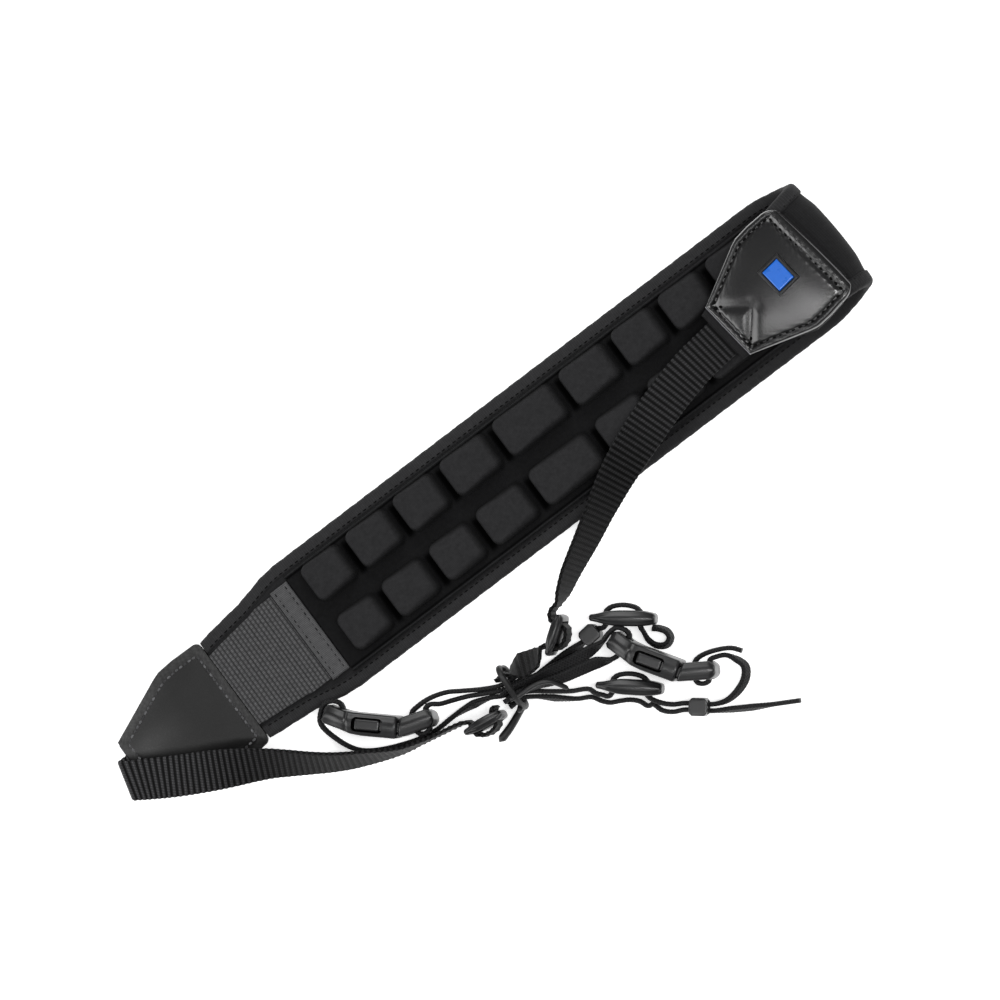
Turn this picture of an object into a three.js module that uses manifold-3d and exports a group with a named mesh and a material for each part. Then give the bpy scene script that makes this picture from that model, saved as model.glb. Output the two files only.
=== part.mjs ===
// Binocular neck strap: an air-cell pad with leather ends, half-inch webbing and a tied
// bundle of flat cords, small buckles and tri-glides. Millimetres, +Z up, lying on z = 0.
// The pad's long axis is +X, the origin is under the middle of the pad.
import * as THREE from 'three';
import { mergeVertices } from 'three/addons/utils/BufferGeometryUtils.js';
import Module from 'manifold-3d';

const wasm = await Module();
wasm.setup();

// ---------------------------------------------------------------- driving dimensions

const GAP = 0.3;                  // clearance between pieces that touch
const PAD_THICK = 3.2;
const PAD_EDGE = 121.5;           // distance from the middle to the inner leathers
const BINDING_WIDTH = 4.2;
const BINDING_THICK = 0.8;
const BINDING_HEIGHT = 3.6;

const CELL_ROWS = [10.2, -8.2];   // y of the two rows of air cells
const CELL_WIDTH = 13.4;          // across the pad
const CELL_TOP = 9.5;

const PANEL_HALF_WIDTH = 17.7;
const PANEL_TOP = 4.4;
const PANEL_END = 88.7;           // where the cell panel meets the hem
const HEM_END = 95.3;             // where the hem meets the stretch patch

const SHIELD_LENGTH = 38.6;
const OUTER_LEATHER_EDGE = 118.4; // the outer leather reaches further onto the pad
const LEATHER_THICK = 1.4;
const LEATHER_HOLD = 1.7;         // how far the outer leather stands under the pad
const CORE_TOP = 1.6;             // the pad's tongue between the leathers
const INNER_LEATHER_TOP = 4.6;
const CHANNEL_HALF = 6.8;         // channel for the webbing between the leathers

const FOLD_START = 97.1;          // the right end turns over from here
const FOLD_RADIUS = 7.5;
const FOLD_TURN = THREE.MathUtils.degToRad(186.5);
const FOLD_TILT = THREE.MathUtils.degToRad(3.4);
const PAD_MIDDLE_HEIGHT = 1.8;    // the surface that keeps its length in the fold

const WEBBING_WIDTH = 12.7;
const WEBBING_THICK = 1.3;
const CORD_WIDTH = 4.0;
const CORD_THICK = 1.3;
const WEBBING_STEP = 6.0;         // longest steps along the straps
const CORD_STEP = 6.0;

const BUCKLE_HEIGHT = 16;         // the buckles stand on a side edge
const WIRE_THICK = 2.0;

// Half width of the pad at a distance s from its middle.
const PAD_OUTLINE = [
  { s: 0, half: 22.5 },
  { s: 90, half: 22.5 },
  { s: 95, half: 22.0 },
  { s: 99, half: 21.1 },
  { s: 105, half: 19.8 },
  { s: 117, half: 18.5 },
  { s: 122, half: 17.8 },
];

// Half width of a shield at a distance d from its wide edge.
const SHIELD_OUTLINE = [
  { d: 0, half: 17.8 },
  { d: 10, half: 18.4 },
  { d: 15.5, half: 18.2 },
  { d: 18, half: 17.5 },
  { d: 38.6, half: 9.8 },
];
const SHIELD_CORNER = 1.8;

// The middle cell of a row, then the ones on both sides of it.
const CELLS = [
  { x: 0, length: 22.8 },
  { x: 22.6, length: 17.6 },
  { x: 41.4, length: 15.6 },
  { x: 59.3, length: 15.8 },
  { x: 76.7, length: 14.8 },
];

// ---------------------------------------------------------------- materials

const finish = (color, roughness, metalness = 0) =>
  new THREE.MeshStandardMaterial({ color, roughness, metalness });

const neoprene = finish(0x141416, 0.9);
const cellFabric = finish(0x101012, 0.85);
const bindingCloth = finish(0x161618, 0.9);
const stretchWeave = finish(0x26262a, 0.9);
const dullLeather = finish(0x2a2a2c, 0.7);
const glossLeather = finish(0x1b1b1d, 0.35);
const webbingNylon = finish(0x242427, 0.75);
const cordNylon = finish(0x1a1a1c, 0.85);
const acetal = finish(0x2b2b2e, 0.4);
const badgeBlue = finish(0x1a66c8, 0.4);
const badgeRim = finish(0x15181c, 0.4);
const coatedWire = finish(0x303032, 0.5);

const strap = new THREE.Group();

function addPiece(name, geometry, material) {
  const mesh = new THREE.Mesh(geometry, material);
  mesh.name = name;
  strap.add(mesh);
  return mesh;
}

// ---------------------------------------------------------------- small helpers

function lookUp(table, key, value, x) {
  const last = table[table.length - 1];
  if (x <= table[0][key]) return table[0][value];
  if (x >= last[key]) return last[value];
  const i = table.findIndex((row) => row[key] >= x);
  const a = table[i - 1];
  const b = table[i];
  return a[value] + ((x - a[key]) / (b[key] - a[key])) * (b[value] - a[value]);
}

function smoothStep(from, to, x) {
  return THREE.MathUtils.smoothstep(x, from, to);
}

function spread(from, to, step) {
  const count = Math.max(1, Math.ceil(Math.abs(to - from) / step - 1e-6));
  return Array.from({ length: count + 1 }, (_, i) => from + ((to - from) * i) / count);
}

// Joins rings of equal length into one closed skin. The outline is the ring's flat shape,
// counter-clockwise when it is looked at against the direction of the loft.
function loft(rings, outline) {
  const count = outline.length;
  const position = rings.flat().flatMap((p) => [p.x, p.y, p.z]);
  const index = [];
  for (let r = 0; r + 1 < rings.length; r += 1) {
    for (let k = 0; k < count; k += 1) {
      const a = r * count + k;
      const b = r * count + ((k + 1) % count);
      index.push(a, b, b + count, a, b + count, a + count);
    }
  }
  const lastRing = (rings.length - 1) * count;
  for (const [a, b, c] of THREE.ShapeUtils.triangulateShape(outline, [])) {
    index.push(a, c, b);
    index.push(lastRing + a, lastRing + b, lastRing + c);
  }
  const geometry = new THREE.BufferGeometry();
  geometry.setAttribute('position', new THREE.Float32BufferAttribute(position, 3));
  geometry.setIndex(index);
  return geometry;
}

function toManifold(geometry) {
  const bare = geometry.clone();
  bare.deleteAttribute('normal');
  bare.deleteAttribute('uv');
  const merged = mergeVertices(bare, 1e-4);
  return new wasm.Manifold(new wasm.Mesh({
    numProp: 3,
    vertProperties: new Float32Array(merged.attributes.position.array),
    triVerts: new Uint32Array(merged.index.array),
  }));
}

function fromManifold(solid) {
  const mesh = solid.getMesh();
  const geometry = new THREE.BufferGeometry();
  geometry.setAttribute('position', new THREE.BufferAttribute(mesh.vertProperties, 3));
  geometry.setIndex(new THREE.BufferAttribute(mesh.triVerts, 1));
  return geometry;
}

// A box between two corners.
function block(x0, x1, y0, y1, z0, z1) {
  const box = new THREE.BoxGeometry(x1 - x0, y1 - y0, z1 - z0);
  box.translate((x0 + x1) / 2, (y0 + y1) / 2, (z0 + z1) / 2);
  return toManifold(box);
}

// A flat outline raised between two heights.
function plate(shape, z0, z1, curveSegments = 4) {
  const body = new THREE.ExtrudeGeometry(shape, {
    depth: z1 - z0, bevelEnabled: false, curveSegments,
  });
  body.translate(0, 0, z0);
  return body;
}

function roundedRectangle(x0, x1, y0, y1, r) {
  const shape = new THREE.Shape();
  shape.moveTo(x0 + r, y0);
  shape.lineTo(x1 - r, y0);
  shape.absarc(x1 - r, y0 + r, r, -Math.PI / 2, 0, false);
  shape.lineTo(x1, y1 - r);
  shape.absarc(x1 - r, y1 - r, r, 0, Math.PI / 2, false);
  shape.lineTo(x0 + r, y1);
  shape.absarc(x0 + r, y1 - r, r, Math.PI / 2, Math.PI, false);
  shape.lineTo(x0, y0 + r);
  shape.absarc(x0 + r, y0 + r, r, Math.PI, Math.PI * 1.5, false);
  return shape;
}

// ---------------------------------------------------------------- the lie of the pad

// Places a point of the flat pad: s along it, t across it, h above its underside. The left
// end bends a little to one side and climbs onto its outer leather; the right end rolls over
// a tilted fold line through FOLD_TURN and then runs on straight, sloping down.
function lay(s, t, h) {
  if (s < 0) {
    const bend = -2.6 * Math.max(0, (-s - 90.5) / 70) ** 1.5;
    const climb = LEATHER_HOLD * smoothStep(96, 119, -s);
    return new THREE.Vector3(s, t + bend, h + climb);
  }
  const across = new THREE.Vector2(Math.cos(FOLD_TILT), Math.sin(FOLD_TILT));
  const along = new THREE.Vector2(-across.y, across.x);
  const d = (s - FOLD_START) * across.x + t * across.y;
  const c = (s - FOLD_START) * along.x + t * along.y;
  if (d <= 0) return new THREE.Vector3(s, t, h);
  const turned = Math.min(d / FOLD_RADIUS, FOLD_TURN);
  const beyond = Math.max(0, d - FOLD_RADIUS * FOLD_TURN);
  const reach = FOLD_RADIUS - (h - PAD_MIDDLE_HEIGHT);
  const out = reach * Math.sin(turned) + beyond * Math.cos(turned);
  const up = -reach * Math.cos(turned) + beyond * Math.sin(turned);
  return new THREE.Vector3(
    FOLD_START + out * across.x + c * along.x,
    out * across.y + c * along.y,
    PAD_MIDDLE_HEIGHT + FOLD_RADIUS + up,
  );
}

// Stations along the pad, closer together in the fold.
function padStations(from, to, extra = []) {
  const marks = [
    from, ...extra, -90, -96, -100, -104, -108, -112, -116, 90, FOLD_START - 2, to,
  ].filter((s) => s >= from && s <= to);
  const sorted = [...new Set(marks)].sort((a, b) => a - b);
  const stations = [];
  for (let i = 0; i + 1 < sorted.length; i += 1) {
    const folded = sorted[i] >= FOLD_START - 2 && sorted[i] < FOLD_START + 27;
    const step = folded ? 2.0 : 40;
    stations.push(...spread(sorted[i], sorted[i + 1], step).slice(0, -1));
  }
  return [...stations, sorted[sorted.length - 1]];
}

// Lofts a section across the pad along its stations. section(s) lists [t, h] points,
// counter-clockwise when looking along the pad from its left end.
function padLoft(stations, section) {
  const rings = stations.map((s) => section(s).map(([t, h]) => lay(s, t, h)));
  const outline = section((stations[0] + stations[1]) / 2);
  return loft(rings, outline.map(([t, h]) => new THREE.Vector2(t, h)));
}

const padHalf = (s) => lookUp(PAD_OUTLINE, 's', 'half', Math.abs(s));

function shieldHalf(d) {
  const half = lookUp(SHIELD_OUTLINE, 'd', 'half', d);
  if (d >= SHIELD_CORNER) return half;
  const back = SHIELD_CORNER - Math.max(0, d);
  return half - SHIELD_CORNER + Math.sqrt(SHIELD_CORNER ** 2 - back ** 2);
}

// ---------------------------------------------------------------- pad

// The core is stepped in at its edges, where the binding grips it, and thins to a tongue
// that goes on between the leathers to just short of the shields' narrow ends.
function padBase() {
  const tongueEnd = PAD_EDGE + SHIELD_LENGTH - 4;
  const body = (s) => {
    const edge = padHalf(s) - BINDING_THICK - GAP;
    const step = padHalf(s) - BINDING_WIDTH - GAP;
    return [
      [-step, 0], [step, 0], [step, 1.1], [edge, 1.1], [edge, 2.5],
      [step, 2.5], [step, PAD_THICK], [-step, PAD_THICK], [-step, 2.5],
      [-edge, 2.5], [-edge, 1.1], [-step, 1.1],
    ];
  };
  const tongue = (s) => {
    const open = shieldHalf(Math.abs(s) - PAD_EDGE + SHIELD_CORNER) - 1.2;
    const half = Math.abs(s) <= PAD_EDGE ? padHalf(s) - BINDING_WIDTH - 2 * GAP : open;
    return [[-half, 0], [half, 0], [half, CORE_TOP], [-half, CORE_TOP]];
  };
  const bodyEnd = PAD_EDGE - GAP;
  const middle = toManifold(padLoft(padStations(-bodyEnd, bodyEnd), body));
  const leftStations = [
    -tongueEnd, -PAD_EDGE - 18, -PAD_EDGE - 12, -PAD_EDGE - 1, -PAD_EDGE, -bodyEnd + 4,
  ];
  const rightStations = leftStations.map((s) => -s).reverse();
  return fromManifold(middle
    .add(toManifold(padLoft(leftStations, tongue)))
    .add(toManifold(padLoft(rightStations, tongue))));
}

// A folded tape round one long edge of the core.
function binding(side) {
  const section = (s) => {
    const out = padHalf(s);
    const wall = out - BINDING_THICK;
    const lip = out - BINDING_WIDTH;
    const points = [
      [lip, 0], [out - 0.5, 0], [out, 0.9], [out, BINDING_HEIGHT - 0.9],
      [out - 0.5, BINDING_HEIGHT], [lip, BINDING_HEIGHT], [lip, BINDING_HEIGHT - BINDING_THICK],
      [wall, BINDING_HEIGHT - BINDING_THICK], [wall, BINDING_THICK], [lip, BINDING_THICK],
    ];
    return side > 0 ? points : points.map(([t, h]) => [-t, h]).reverse();
  };
  return padLoft(padStations(-PAD_EDGE + GAP, PAD_EDGE - GAP), section);
}

// One air cell: a rounded cushion with a narrower crown.
function airCell(x, y, length) {
  const bevel = 2.2;
  const halfLength = length / 2;
  const halfWidth = CELL_WIDTH / 2;
  const shape = roundedRectangle(
    -halfLength + bevel, halfLength - bevel, -halfWidth + bevel, halfWidth - bevel, 2.2,
  );
  const body = new THREE.ExtrudeGeometry(shape, {
    depth: CELL_TOP - PANEL_TOP,
    bevelThickness: bevel,
    bevelSize: bevel,
    bevelSegments: 2,
    curveSegments: 2,
  });
  body.translate(x, y, PANEL_TOP - bevel);
  const keep = block(
    x - length, x + length, y - length, y + length, PANEL_TOP - 0.4, CELL_TOP + 1,
  );
  return toManifold(body).intersect(keep);
}

function cellPanel() {
  const h = [PAD_THICK + GAP, PANEL_TOP];
  let panel = block(-PANEL_END, PANEL_END, -PANEL_HALF_WIDTH, PANEL_HALF_WIDTH, ...h);
  for (const y of CELL_ROWS) {
    for (const { x, length } of CELLS) {
      panel = panel.add(airCell(x, y, length));
      if (x > 0) panel = panel.add(airCell(-x, y, length));
    }
  }
  return fromManifold(panel);
}

// A strip lying on the inner face of the pad between two stations.
function innerStrip(from, to, halfAt, top) {
  const section = (s) => {
    const half = halfAt(s);
    return [[-half, PAD_THICK + GAP], [half, PAD_THICK + GAP], [half, top], [-half, top]];
  };
  return padLoft(padStations(from, to), section);
}

// ---------------------------------------------------------------- leather shields

function shieldStations(side, edge, length) {
  const marks = [0, 0.5, 1.5, SHIELD_CORNER, 5, 7.5, 10, 15.5, 18, 24, 31, length];
  const stations = marks.map((d) => side * (edge + d));
  return side > 0 ? stations : stations.reverse();
}

function outerLeather(side) {
  const edge = side > 0 ? OUTER_LEATHER_EDGE : PAD_EDGE;
  const section = (s) => {
    const half = shieldHalf(Math.abs(s) - edge);
    return [
      [-half, -LEATHER_HOLD], [half, -LEATHER_HOLD],
      [half, LEATHER_THICK - LEATHER_HOLD], [-half, LEATHER_THICK - LEATHER_HOLD],
    ];
  };
  return padLoft(shieldStations(side, edge, SHIELD_LENGTH), section);
}

// Two plies that meet at the sides and leave a channel for the webbing between them.
function innerLeather(side) {
  const section = (s) => {
    const half = shieldHalf(Math.abs(s) - PAD_EDGE) + 0.7;
    const low = CORE_TOP + GAP;
    const roof = INNER_LEATHER_TOP - 1.1;
    return [
      [-half, low], [-CHANNEL_HALF, low], [-CHANNEL_HALF, roof], [CHANNEL_HALF, roof],
      [CHANNEL_HALF, low], [half, low], [half, INNER_LEATHER_TOP - 0.5],
      [half - 0.8, INNER_LEATHER_TOP], [0.8 - half, INNER_LEATHER_TOP],
      [-half, INNER_LEATHER_TOP - 0.5],
    ];
  };
  return padLoft(shieldStations(side, PAD_EDGE, SHIELD_LENGTH - 0.8), section);
}

// The badge sits on the outer leather of the folded end.
const BADGE = { s: 129.9, t: 1.1, length: 8.3, width: 9.8, rim: 1.0 };

function badgeFrame() {
  const { s, t, length, width } = BADGE;
  const low = -LEATHER_HOLD - GAP;
  const section = () => [
    [t - width / 2, low - 1.0], [t + width / 2, low - 1.0],
    [t + width / 2, low], [t - width / 2, low],
  ];
  const outer = toManifold(padLoft([s - length / 2, s + length / 2], section));
  return fromManifold(outer.subtract(badgeSolid(GAP, -0.6)));
}

// The tile's own space, grown sideways by margin and starting at depth over the leather.
function badgeSolid(margin, depth) {
  const { s, t, length, width, rim } = BADGE;
  const halfLength = length / 2 - rim + margin;
  const halfWidth = width / 2 - rim + margin;
  const low = -LEATHER_HOLD - GAP + depth;
  const section = () => [
    [t - halfWidth, low - 0.7], [t + halfWidth, low - 0.7],
    [t + halfWidth, low], [t - halfWidth, low],
  ];
  return toManifold(padLoft([s - halfLength, s + halfLength], section));
}

// ---------------------------------------------------------------- straps

// The webbings, cords and hardware are set out in the bundle's own frame: its x zero lies
// BUNDLE_X from the middle of the pad.
const BUNDLE_X = -20.5;
const CHAMFER = 0.35;

// The outline of a flat strap's section: its width along the first axis.
function strapOutline(width, thick) {
  const a = width / 2;
  const b = thick / 2;
  return [
    [-a + CHAMFER, -b], [a - CHAMFER, -b], [a, -b + CHAMFER], [a, b - CHAMFER],
    [a - CHAMFER, b], [-a + CHAMFER, b], [-a, b - CHAMFER], [-a, -b + CHAMFER],
  ].map(([x, y]) => new THREE.Vector2(x, y));
}

// A flat strap along rows of [x, y, z, azimuth, tilt]. The last two point the strap's width
// at one of its edges, as a compass angle and a rise; left out, the strap stands on edge.
function flatStrap(rows, width, thick, step) {
  const points = rows.map(([x, y, z]) => new THREE.Vector3(x + BUNDLE_X, y, z));
  const curve = new THREE.CatmullRomCurve3(points, false, 'centripetal');
  const parameters = [0];
  for (let i = 0; i + 1 < rows.length; i += 1) {
    const count = Math.max(1, Math.ceil(points[i].distanceTo(points[i + 1]) / step));
    for (let k = 1; k <= count; k += 1) parameters.push(i + k / count);
  }
  const outline = strapOutline(width, thick);
  const rings = parameters.map((p) => {
    const i = Math.min(Math.floor(p), rows.length - 2);
    const turn = (column, plain) => THREE.MathUtils.degToRad(THREE.MathUtils.lerp(
      rows[i][column] ?? plain, rows[i + 1][column] ?? plain, p - i,
    ));
    const azimuth = turn(3, 90);
    const tilt = turn(4, 90);
    const wide = new THREE.Vector3(
      Math.cos(azimuth) * Math.cos(tilt), Math.sin(azimuth) * Math.cos(tilt), Math.sin(tilt),
    );
    const ahead = curve.getTangent(p / (rows.length - 1));
    const flat = new THREE.Vector3().crossVectors(ahead, wide).normalize();
    const centre = curve.getPoint(p / (rows.length - 1));
    return outline.map((q) => centre.clone()
      .addScaledVector(wide, q.x)
      .addScaledVector(flat, q.y));
  });
  return loft(rings, outline);
}

const cord = (rows) => flatStrap(rows, CORD_WIDTH, CORD_THICK, CORD_STEP);
const webbing = (rows) => flatStrap(rows, WEBBING_WIDTH, WEBBING_THICK, WEBBING_STEP);

// ---------------------------------------------------------------- places of the hardware

const MALE_TURN = 24;             // the buckles' halves make this angle

const FEMALE_LEFT = { x: -66.4, y: -40.4, angle: -42 };
const FEMALE_RIGHT = { x: 11.6, y: -77.9, angle: -57 };
const MALE_LEFT = { ...FEMALE_LEFT, angle: FEMALE_LEFT.angle + MALE_TURN };
const MALE_RIGHT = { ...FEMALE_RIGHT, angle: FEMALE_RIGHT.angle + MALE_TURN };
const BAR_END = { x: -19.7, y: 1.5, angle: -14 }; // in the female half's own frame
const BAR_LEFT = within(FEMALE_LEFT, BAR_END);
const BAR_RIGHT = within(FEMALE_RIGHT, BAR_END);
const GLIDE_A = { x: 7.0, y: -54.3, angle: -38 };
const GLIDE_B = { x: -3.8, y: -72.0, angle: -40.4 };
const GLIDE_C = { x: -45.0, y: -54.6, angle: -8 };
const GLIDE_D = { x: -12.0, y: -46.4, angle: 35.8 };
const KEEPER_A = { x: -4.0, y: -52.3, angle: 6 };
const KEEPER_B = { x: 9.3, y: -89.3, angle: -38.5 };

// Rows given beside a piece of hardware, along it and across it, as rows of the bundle.
function beside(place, rows) {
  const angle = THREE.MathUtils.degToRad(place.angle);
  const [c, s] = [Math.cos(angle), Math.sin(angle)];
  return rows.map(([u, v, z]) => [place.x + u * c - v * s, place.y + u * s + v * c, z]);
}

// A place that is given in the frame of another place.
function within(outer, inner) {
  const [[x, y]] = beside(outer, [[inner.x, inner.y, 0]]);
  return { x, y, angle: outer.angle + inner.angle };
}

// Puts a geometry that was made in a piece's own frame in its place.
function put(geometry, place) {
  geometry.rotateZ(THREE.MathUtils.degToRad(place.angle));
  geometry.translate(place.x + BUNDLE_X, place.y, 0);
  return geometry;
}

// ---------------------------------------------------------------- routes

// Left webbing: out of the shield, folded back over it on a slant, then down to the floor on
// its edge and through the tri-glide beside the tie.
const WEBBING_LEFT = [
  [-122, -1.66, 4.25, 90, 0],
  [-130, -2.06, 4.25, 90, 0],
  [-137, -2.45, 4.25, 84, 0],
  [-141.8, -2.6, 4.25, 75, 0],
  [-142.9, -2.6, 4.7, 75, 0],
  [-143.4, -2.8, 5.78, 75, 0],
  [-143.1, -3.2, 6.85, 75, 0],
  [-142.1, -3.85, 7.3, 75, 0],
  [-137, -6.9, 7.4, 66, 0],
  [-132, -9.9, 7.5, 60, 0],
  [-127, -12.7, 7.6, 60, 2],
  [-121, -15.9, 7.9, 61, 12],
  [-115, -19.2, 8.3, 60, 25],
  [-110, -22.0, 7.9, 59, 36],
  [-105, -25.0, 7.2, 57, 44],
  [-100, -28.6, 6.7, 54, 51],
  [-95, -32.3, 6.6, 54, 58],
  [-90, -35.8, 6.6, 56, 63],
  [-85, -38.8, 6.7, 60, 67],
  [-80, -41.4, 6.8, 63, 72],
  [-75, -43.9, 6.9, 68, 78],
  [-70, -46.0, 7.1, 74, 84],
  [-65, -47.3, 7.6, 80, 88],
  [-60, -48.5, 8.2, 90, 90],
  [-55.0, -49.5, 8.7],
  ...beside(GLIDE_C, [
    [-7.0, 3.4, 8.7],
    [-4.8, 2.9, 8.7],
    [-3.7, 1.9, 8.7],
    [-3.6, 0, 8.7],
    [-3.5, -1.8, 8.7],
    [-2.3, -2.9, 8.7],
    [0, -3.4, 8.7],
    [2.3, -2.9, 8.7],
    [3.5, -1.8, 8.7],
    [3.6, 0, 8.7],
    [3.7, 1.9, 8.7],
    [5.4, 2.9, 8.9],
  ]),
];

// Right webbing: from the folded end over the cells, off the pad's edge on its own edge, and
// through the tri-glide; its tail ends under the tie.
const WEBBING_RIGHT = [
  [100.7, -3.43, 14.15, 96.8, 0],
  [91, -4.6, 13.06, 96.8, 0],
  [81.5, -5.75, 12.0, 97, 0],
  [76, -6.3, 11.0, 98, 0],
  [70, -7.0, 10.6, 100, 0],
  [60, -9.3, 10.5, 105, 0],
  [50, -12.3, 10.6, 108, 4],
  [40.4, -15.7, 10.6, 109, 22],
  [30.8, -19.6, 9.7, 112, 38],
  [21.2, -24.3, 8.4, 115, 52],
  [11.6, -29.3, 7.5, 117, 61],
  [6.8, -31.7, 7.3, 118, 66],
  [2.1, -34.2, 7.3, 121, 71],
  [-2.7, -37.3, 7.6, 126, 79],
  [-5.7, -39.1, 8.2, 130, 90],
  ...beside(GLIDE_D, [
    [6.9, 3.2, 8.7],
    [4.9, 2.9, 8.7],
    [3.7, 1.9, 8.7],
    [3.6, 0, 8.7],
    [3.5, -1.8, 8.7],
    [2.3, -2.9, 8.7],
    [0, -3.4, 8.7],
    [-2.3, -2.9, 8.7],
    [-3.5, -1.8, 8.7],
    [-3.6, 0, 8.7],
    [-3.7, 1.9, 8.7],
    [-4.9, 2.9, 8.7],
    [-8.0, 3.6, 8.9, 78, 118],
  ]),
  [-26.0, -47.5, 9.6, 78, 130],
  [-31, -46.8, 9.2],
  [-34.4, -46.7, 9.2],
];

// From the left buckle's female end through the bundle, keeper and tri-glide to its loop.
const CORD_SLING_LEFT = [
  ...beside(BAR_LEFT, [
    [0.9, 0.0, 8.2],
    [0.9, 2.9, 8.2],
    [-0.3, 4.1, 8.2],
    [-2.6, 4.1, 8.2],
    [-4.7, 2.6, 8.1],
    [-5.1, -0.6, 7.9],
    [-3.9, -3.8, 7.4],
  ]),
  [-83.9, -32.6, 6.2],
  [-81.6, -37.2, 4.4],
  [-78.8, -39.8, 3.2],
  [-74.4, -42.3, 2.6],
  [-69.4, -44.4, 2.4],
  [-64.5, -46.0, 2.4],
  [-58.6, -46.95, 2.4],
  [-51.7, -46.8, 2.5],
  [-45, -47.6, 3.0, 90, 60],
  [-40, -49.0, 3.8],
  [-35.5, -51.3, 5.0],
  [-30, -51.9, 5.0],
  [-23.4, -52.6, 4.6, 90, 65],
  [-14.4, -53.0, 3.5, 90, 14],
  [-7.6, -52.7, 4.3, 90, 80],
  [-4.0, -52.3, 4.4],
  [-1.0, -52.1, 4.5],
  ...beside(GLIDE_A, [
    [-6.3, -3.1, 5.3],
    [-5.3, -2.0, 5.7],
    [-5.3, 0, 5.7],
    [-5.2, 1.9, 5.7],
    [-3.9, 3.2, 5.7],
    [-2.0, 3.8, 5.7],
    [0, 4.0, 5.7],
    [2.0, 3.8, 5.7],
    [3.9, 3.2, 5.7],
    [5.2, 1.9, 5.7],
    [5.3, 0, 5.7],
    [5.2, -2.2, 5.6],
  ]),
  [9.3, -61.5, 4.9, 10, 80],
  [9.0, -64.0, 3.9, 20, 74],
  [10.0, -66.8, 3.0, 50, 72],
  [12.4, -68.3, 2.6, 92, 72],
  [14.6, -67.3, 2.6, 140, 72],
  [14.9, -65.2, 2.8, 190, 72],
  [13.6, -63.1, 3.1, 220, 74],
  [12.0, -61.7, 3.3, 235, 76],
];

// A loop from the bundle through both slots of the left buckle's male end and back.
const CORD_LOOP_LEFT = [
  [-25, -50.2, 4.9],
  [-30, -50.3, 5.0],
  [-35, -49.7, 5.0],
  [-40, -47.3, 4.4],
  [-45, -44.7, 4.2],
  [-49.2, -43.0, 5.2],
  ...beside(MALE_LEFT, [
    [13.4, 3.0, 7.6],
    [10.6, 3.8, 8.1],
    [9.2, 3.3, 8.2],
    [8.5, 1.8, 8.2],
    [8.5, -1.8, 8.2],
    [7.9, -3.4, 8.2],
    [6.3, -3.9, 8.2],
    [4.7, -3.4, 8.2],
    [4.1, -1.8, 8.2],
    [4.1, 1.8, 8.2],
    [4.8, 3.4, 8.2],
    [7.0, 4.5, 8.1],
    [11.0, 5.6, 7.6],
  ]),
  [-49.2, -40.0, 6.2],
  [-45, -42.6, 5.2],
  [-40, -45.7, 4.8],
  [-35, -48.1, 5.0],
  [-31, -48.6, 5.0],
  [-28, -48.7, 5.0],
];

// A loop from the bundle round the right buckle's female end and back.
const CORD_SLING_RIGHT = [
  [-36.5, -51.0, 9.7],
  [-32, -51.0, 9.7],
  [-26.7, -52.4, 9.5, 80, 65],
  [-18.8, -54.3, 9.1, 78, 25],
  [-8.0, -56.2, 9.2, 78, 22],
  ...beside(BAR_RIGHT, [
    [-5.4, -2.6, 8.3],
    [-5.2, 0.6, 8.2],
    [-4.3, 3.2, 8.2],
    [-2.6, 4.1, 8.2],
    [-0.4, 4.1, 8.2],
    [0.9, 2.8, 8.2],
    [0.9, 0, 8.2],
    [0.9, -3.0, 8.2],
  ]),
  [-2.9, -62.2, 8.2],
  [-7.0, -60.4, 8.4, 72, 28],
  [-12.4, -59.0, 8.8, 74, 24],
  [-19.0, -57.4, 9.3, 74, 36],
  [-25.7, -55.0, 9.6, 78, 70],
  [-32, -53.2, 9.7],
  [-36.5, -53.2, 9.7],
];

// From the bundle through tri-glide B and keeper B to the right buckle's male end.
const CORD_LOOP_RIGHT = [
  [-36.5, -53.5, 5.0],
  [-32, -53.5, 5.0],
  [-28.6, -55.0, 5.0],
  [-24.4, -58.2, 5.6],
  [-18.8, -62.3, 5.2],
  ...beside(GLIDE_B, [
    [-12.4, -1.4, 5.2],
    [-10.2, -2.5, 5.5],
    [-8.0, -2.9, 5.6],
    [-6.3, -3.2, 5.7],
    [-5.3, -2.0, 5.7],
    [-5.3, 0, 5.7],
    [-5.2, 1.9, 5.7],
    [-3.9, 3.2, 5.7],
    [-2.0, 3.8, 5.7],
    [0, 4.0, 5.7],
    [2.0, 3.8, 5.7],
    [3.9, 3.2, 5.7],
    [5.2, 1.9, 5.7],
    [5.3, 0, 5.7],
    [5.4, -2.0, 5.7],
    [6.6, -3.1, 5.6],
  ]),
  [1.1, -81.7, 4.9],
  [3.5, -84.0, 4.5],
  ...beside(KEEPER_B, [
    [-4.5, 1.0, 4.3],
    [0, 1.0, 4.4],
    [4.5, 1.0, 4.3],
  ]),
  [17.2, -92.7, 3.9, 92, 82],
  [21.5, -92.4, 3.8, 104, 68],
  [25.6, -90.7, 4.3, 126, 62],
  [27.8, -87.9, 5.2, 155, 64],
  [27.2, -84.9, 6.4, 190, 72],
  ...beside(MALE_RIGHT, [
    [13.6, 4.2, 7.5],
    [10.6, 3.8, 8.1],
    [9.2, 3.3, 8.2],
    [8.5, 1.8, 8.2],
    [8.5, -1.8, 8.2],
    [7.9, -3.4, 8.2],
    [6.3, -3.9, 8.2],
    [4.7, -3.4, 8.2],
    [4.1, -1.8, 8.2],
    [4.1, 1.8, 8.2],
    [4.8, 3.4, 8.2],
    [7.0, 4.8, 8.2],
    [11.0, 5.9, 8.0],
    [15.5, 6.2, 7.6],
    [18.6, 5.2, 7.2],
  ]),
];

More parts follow.
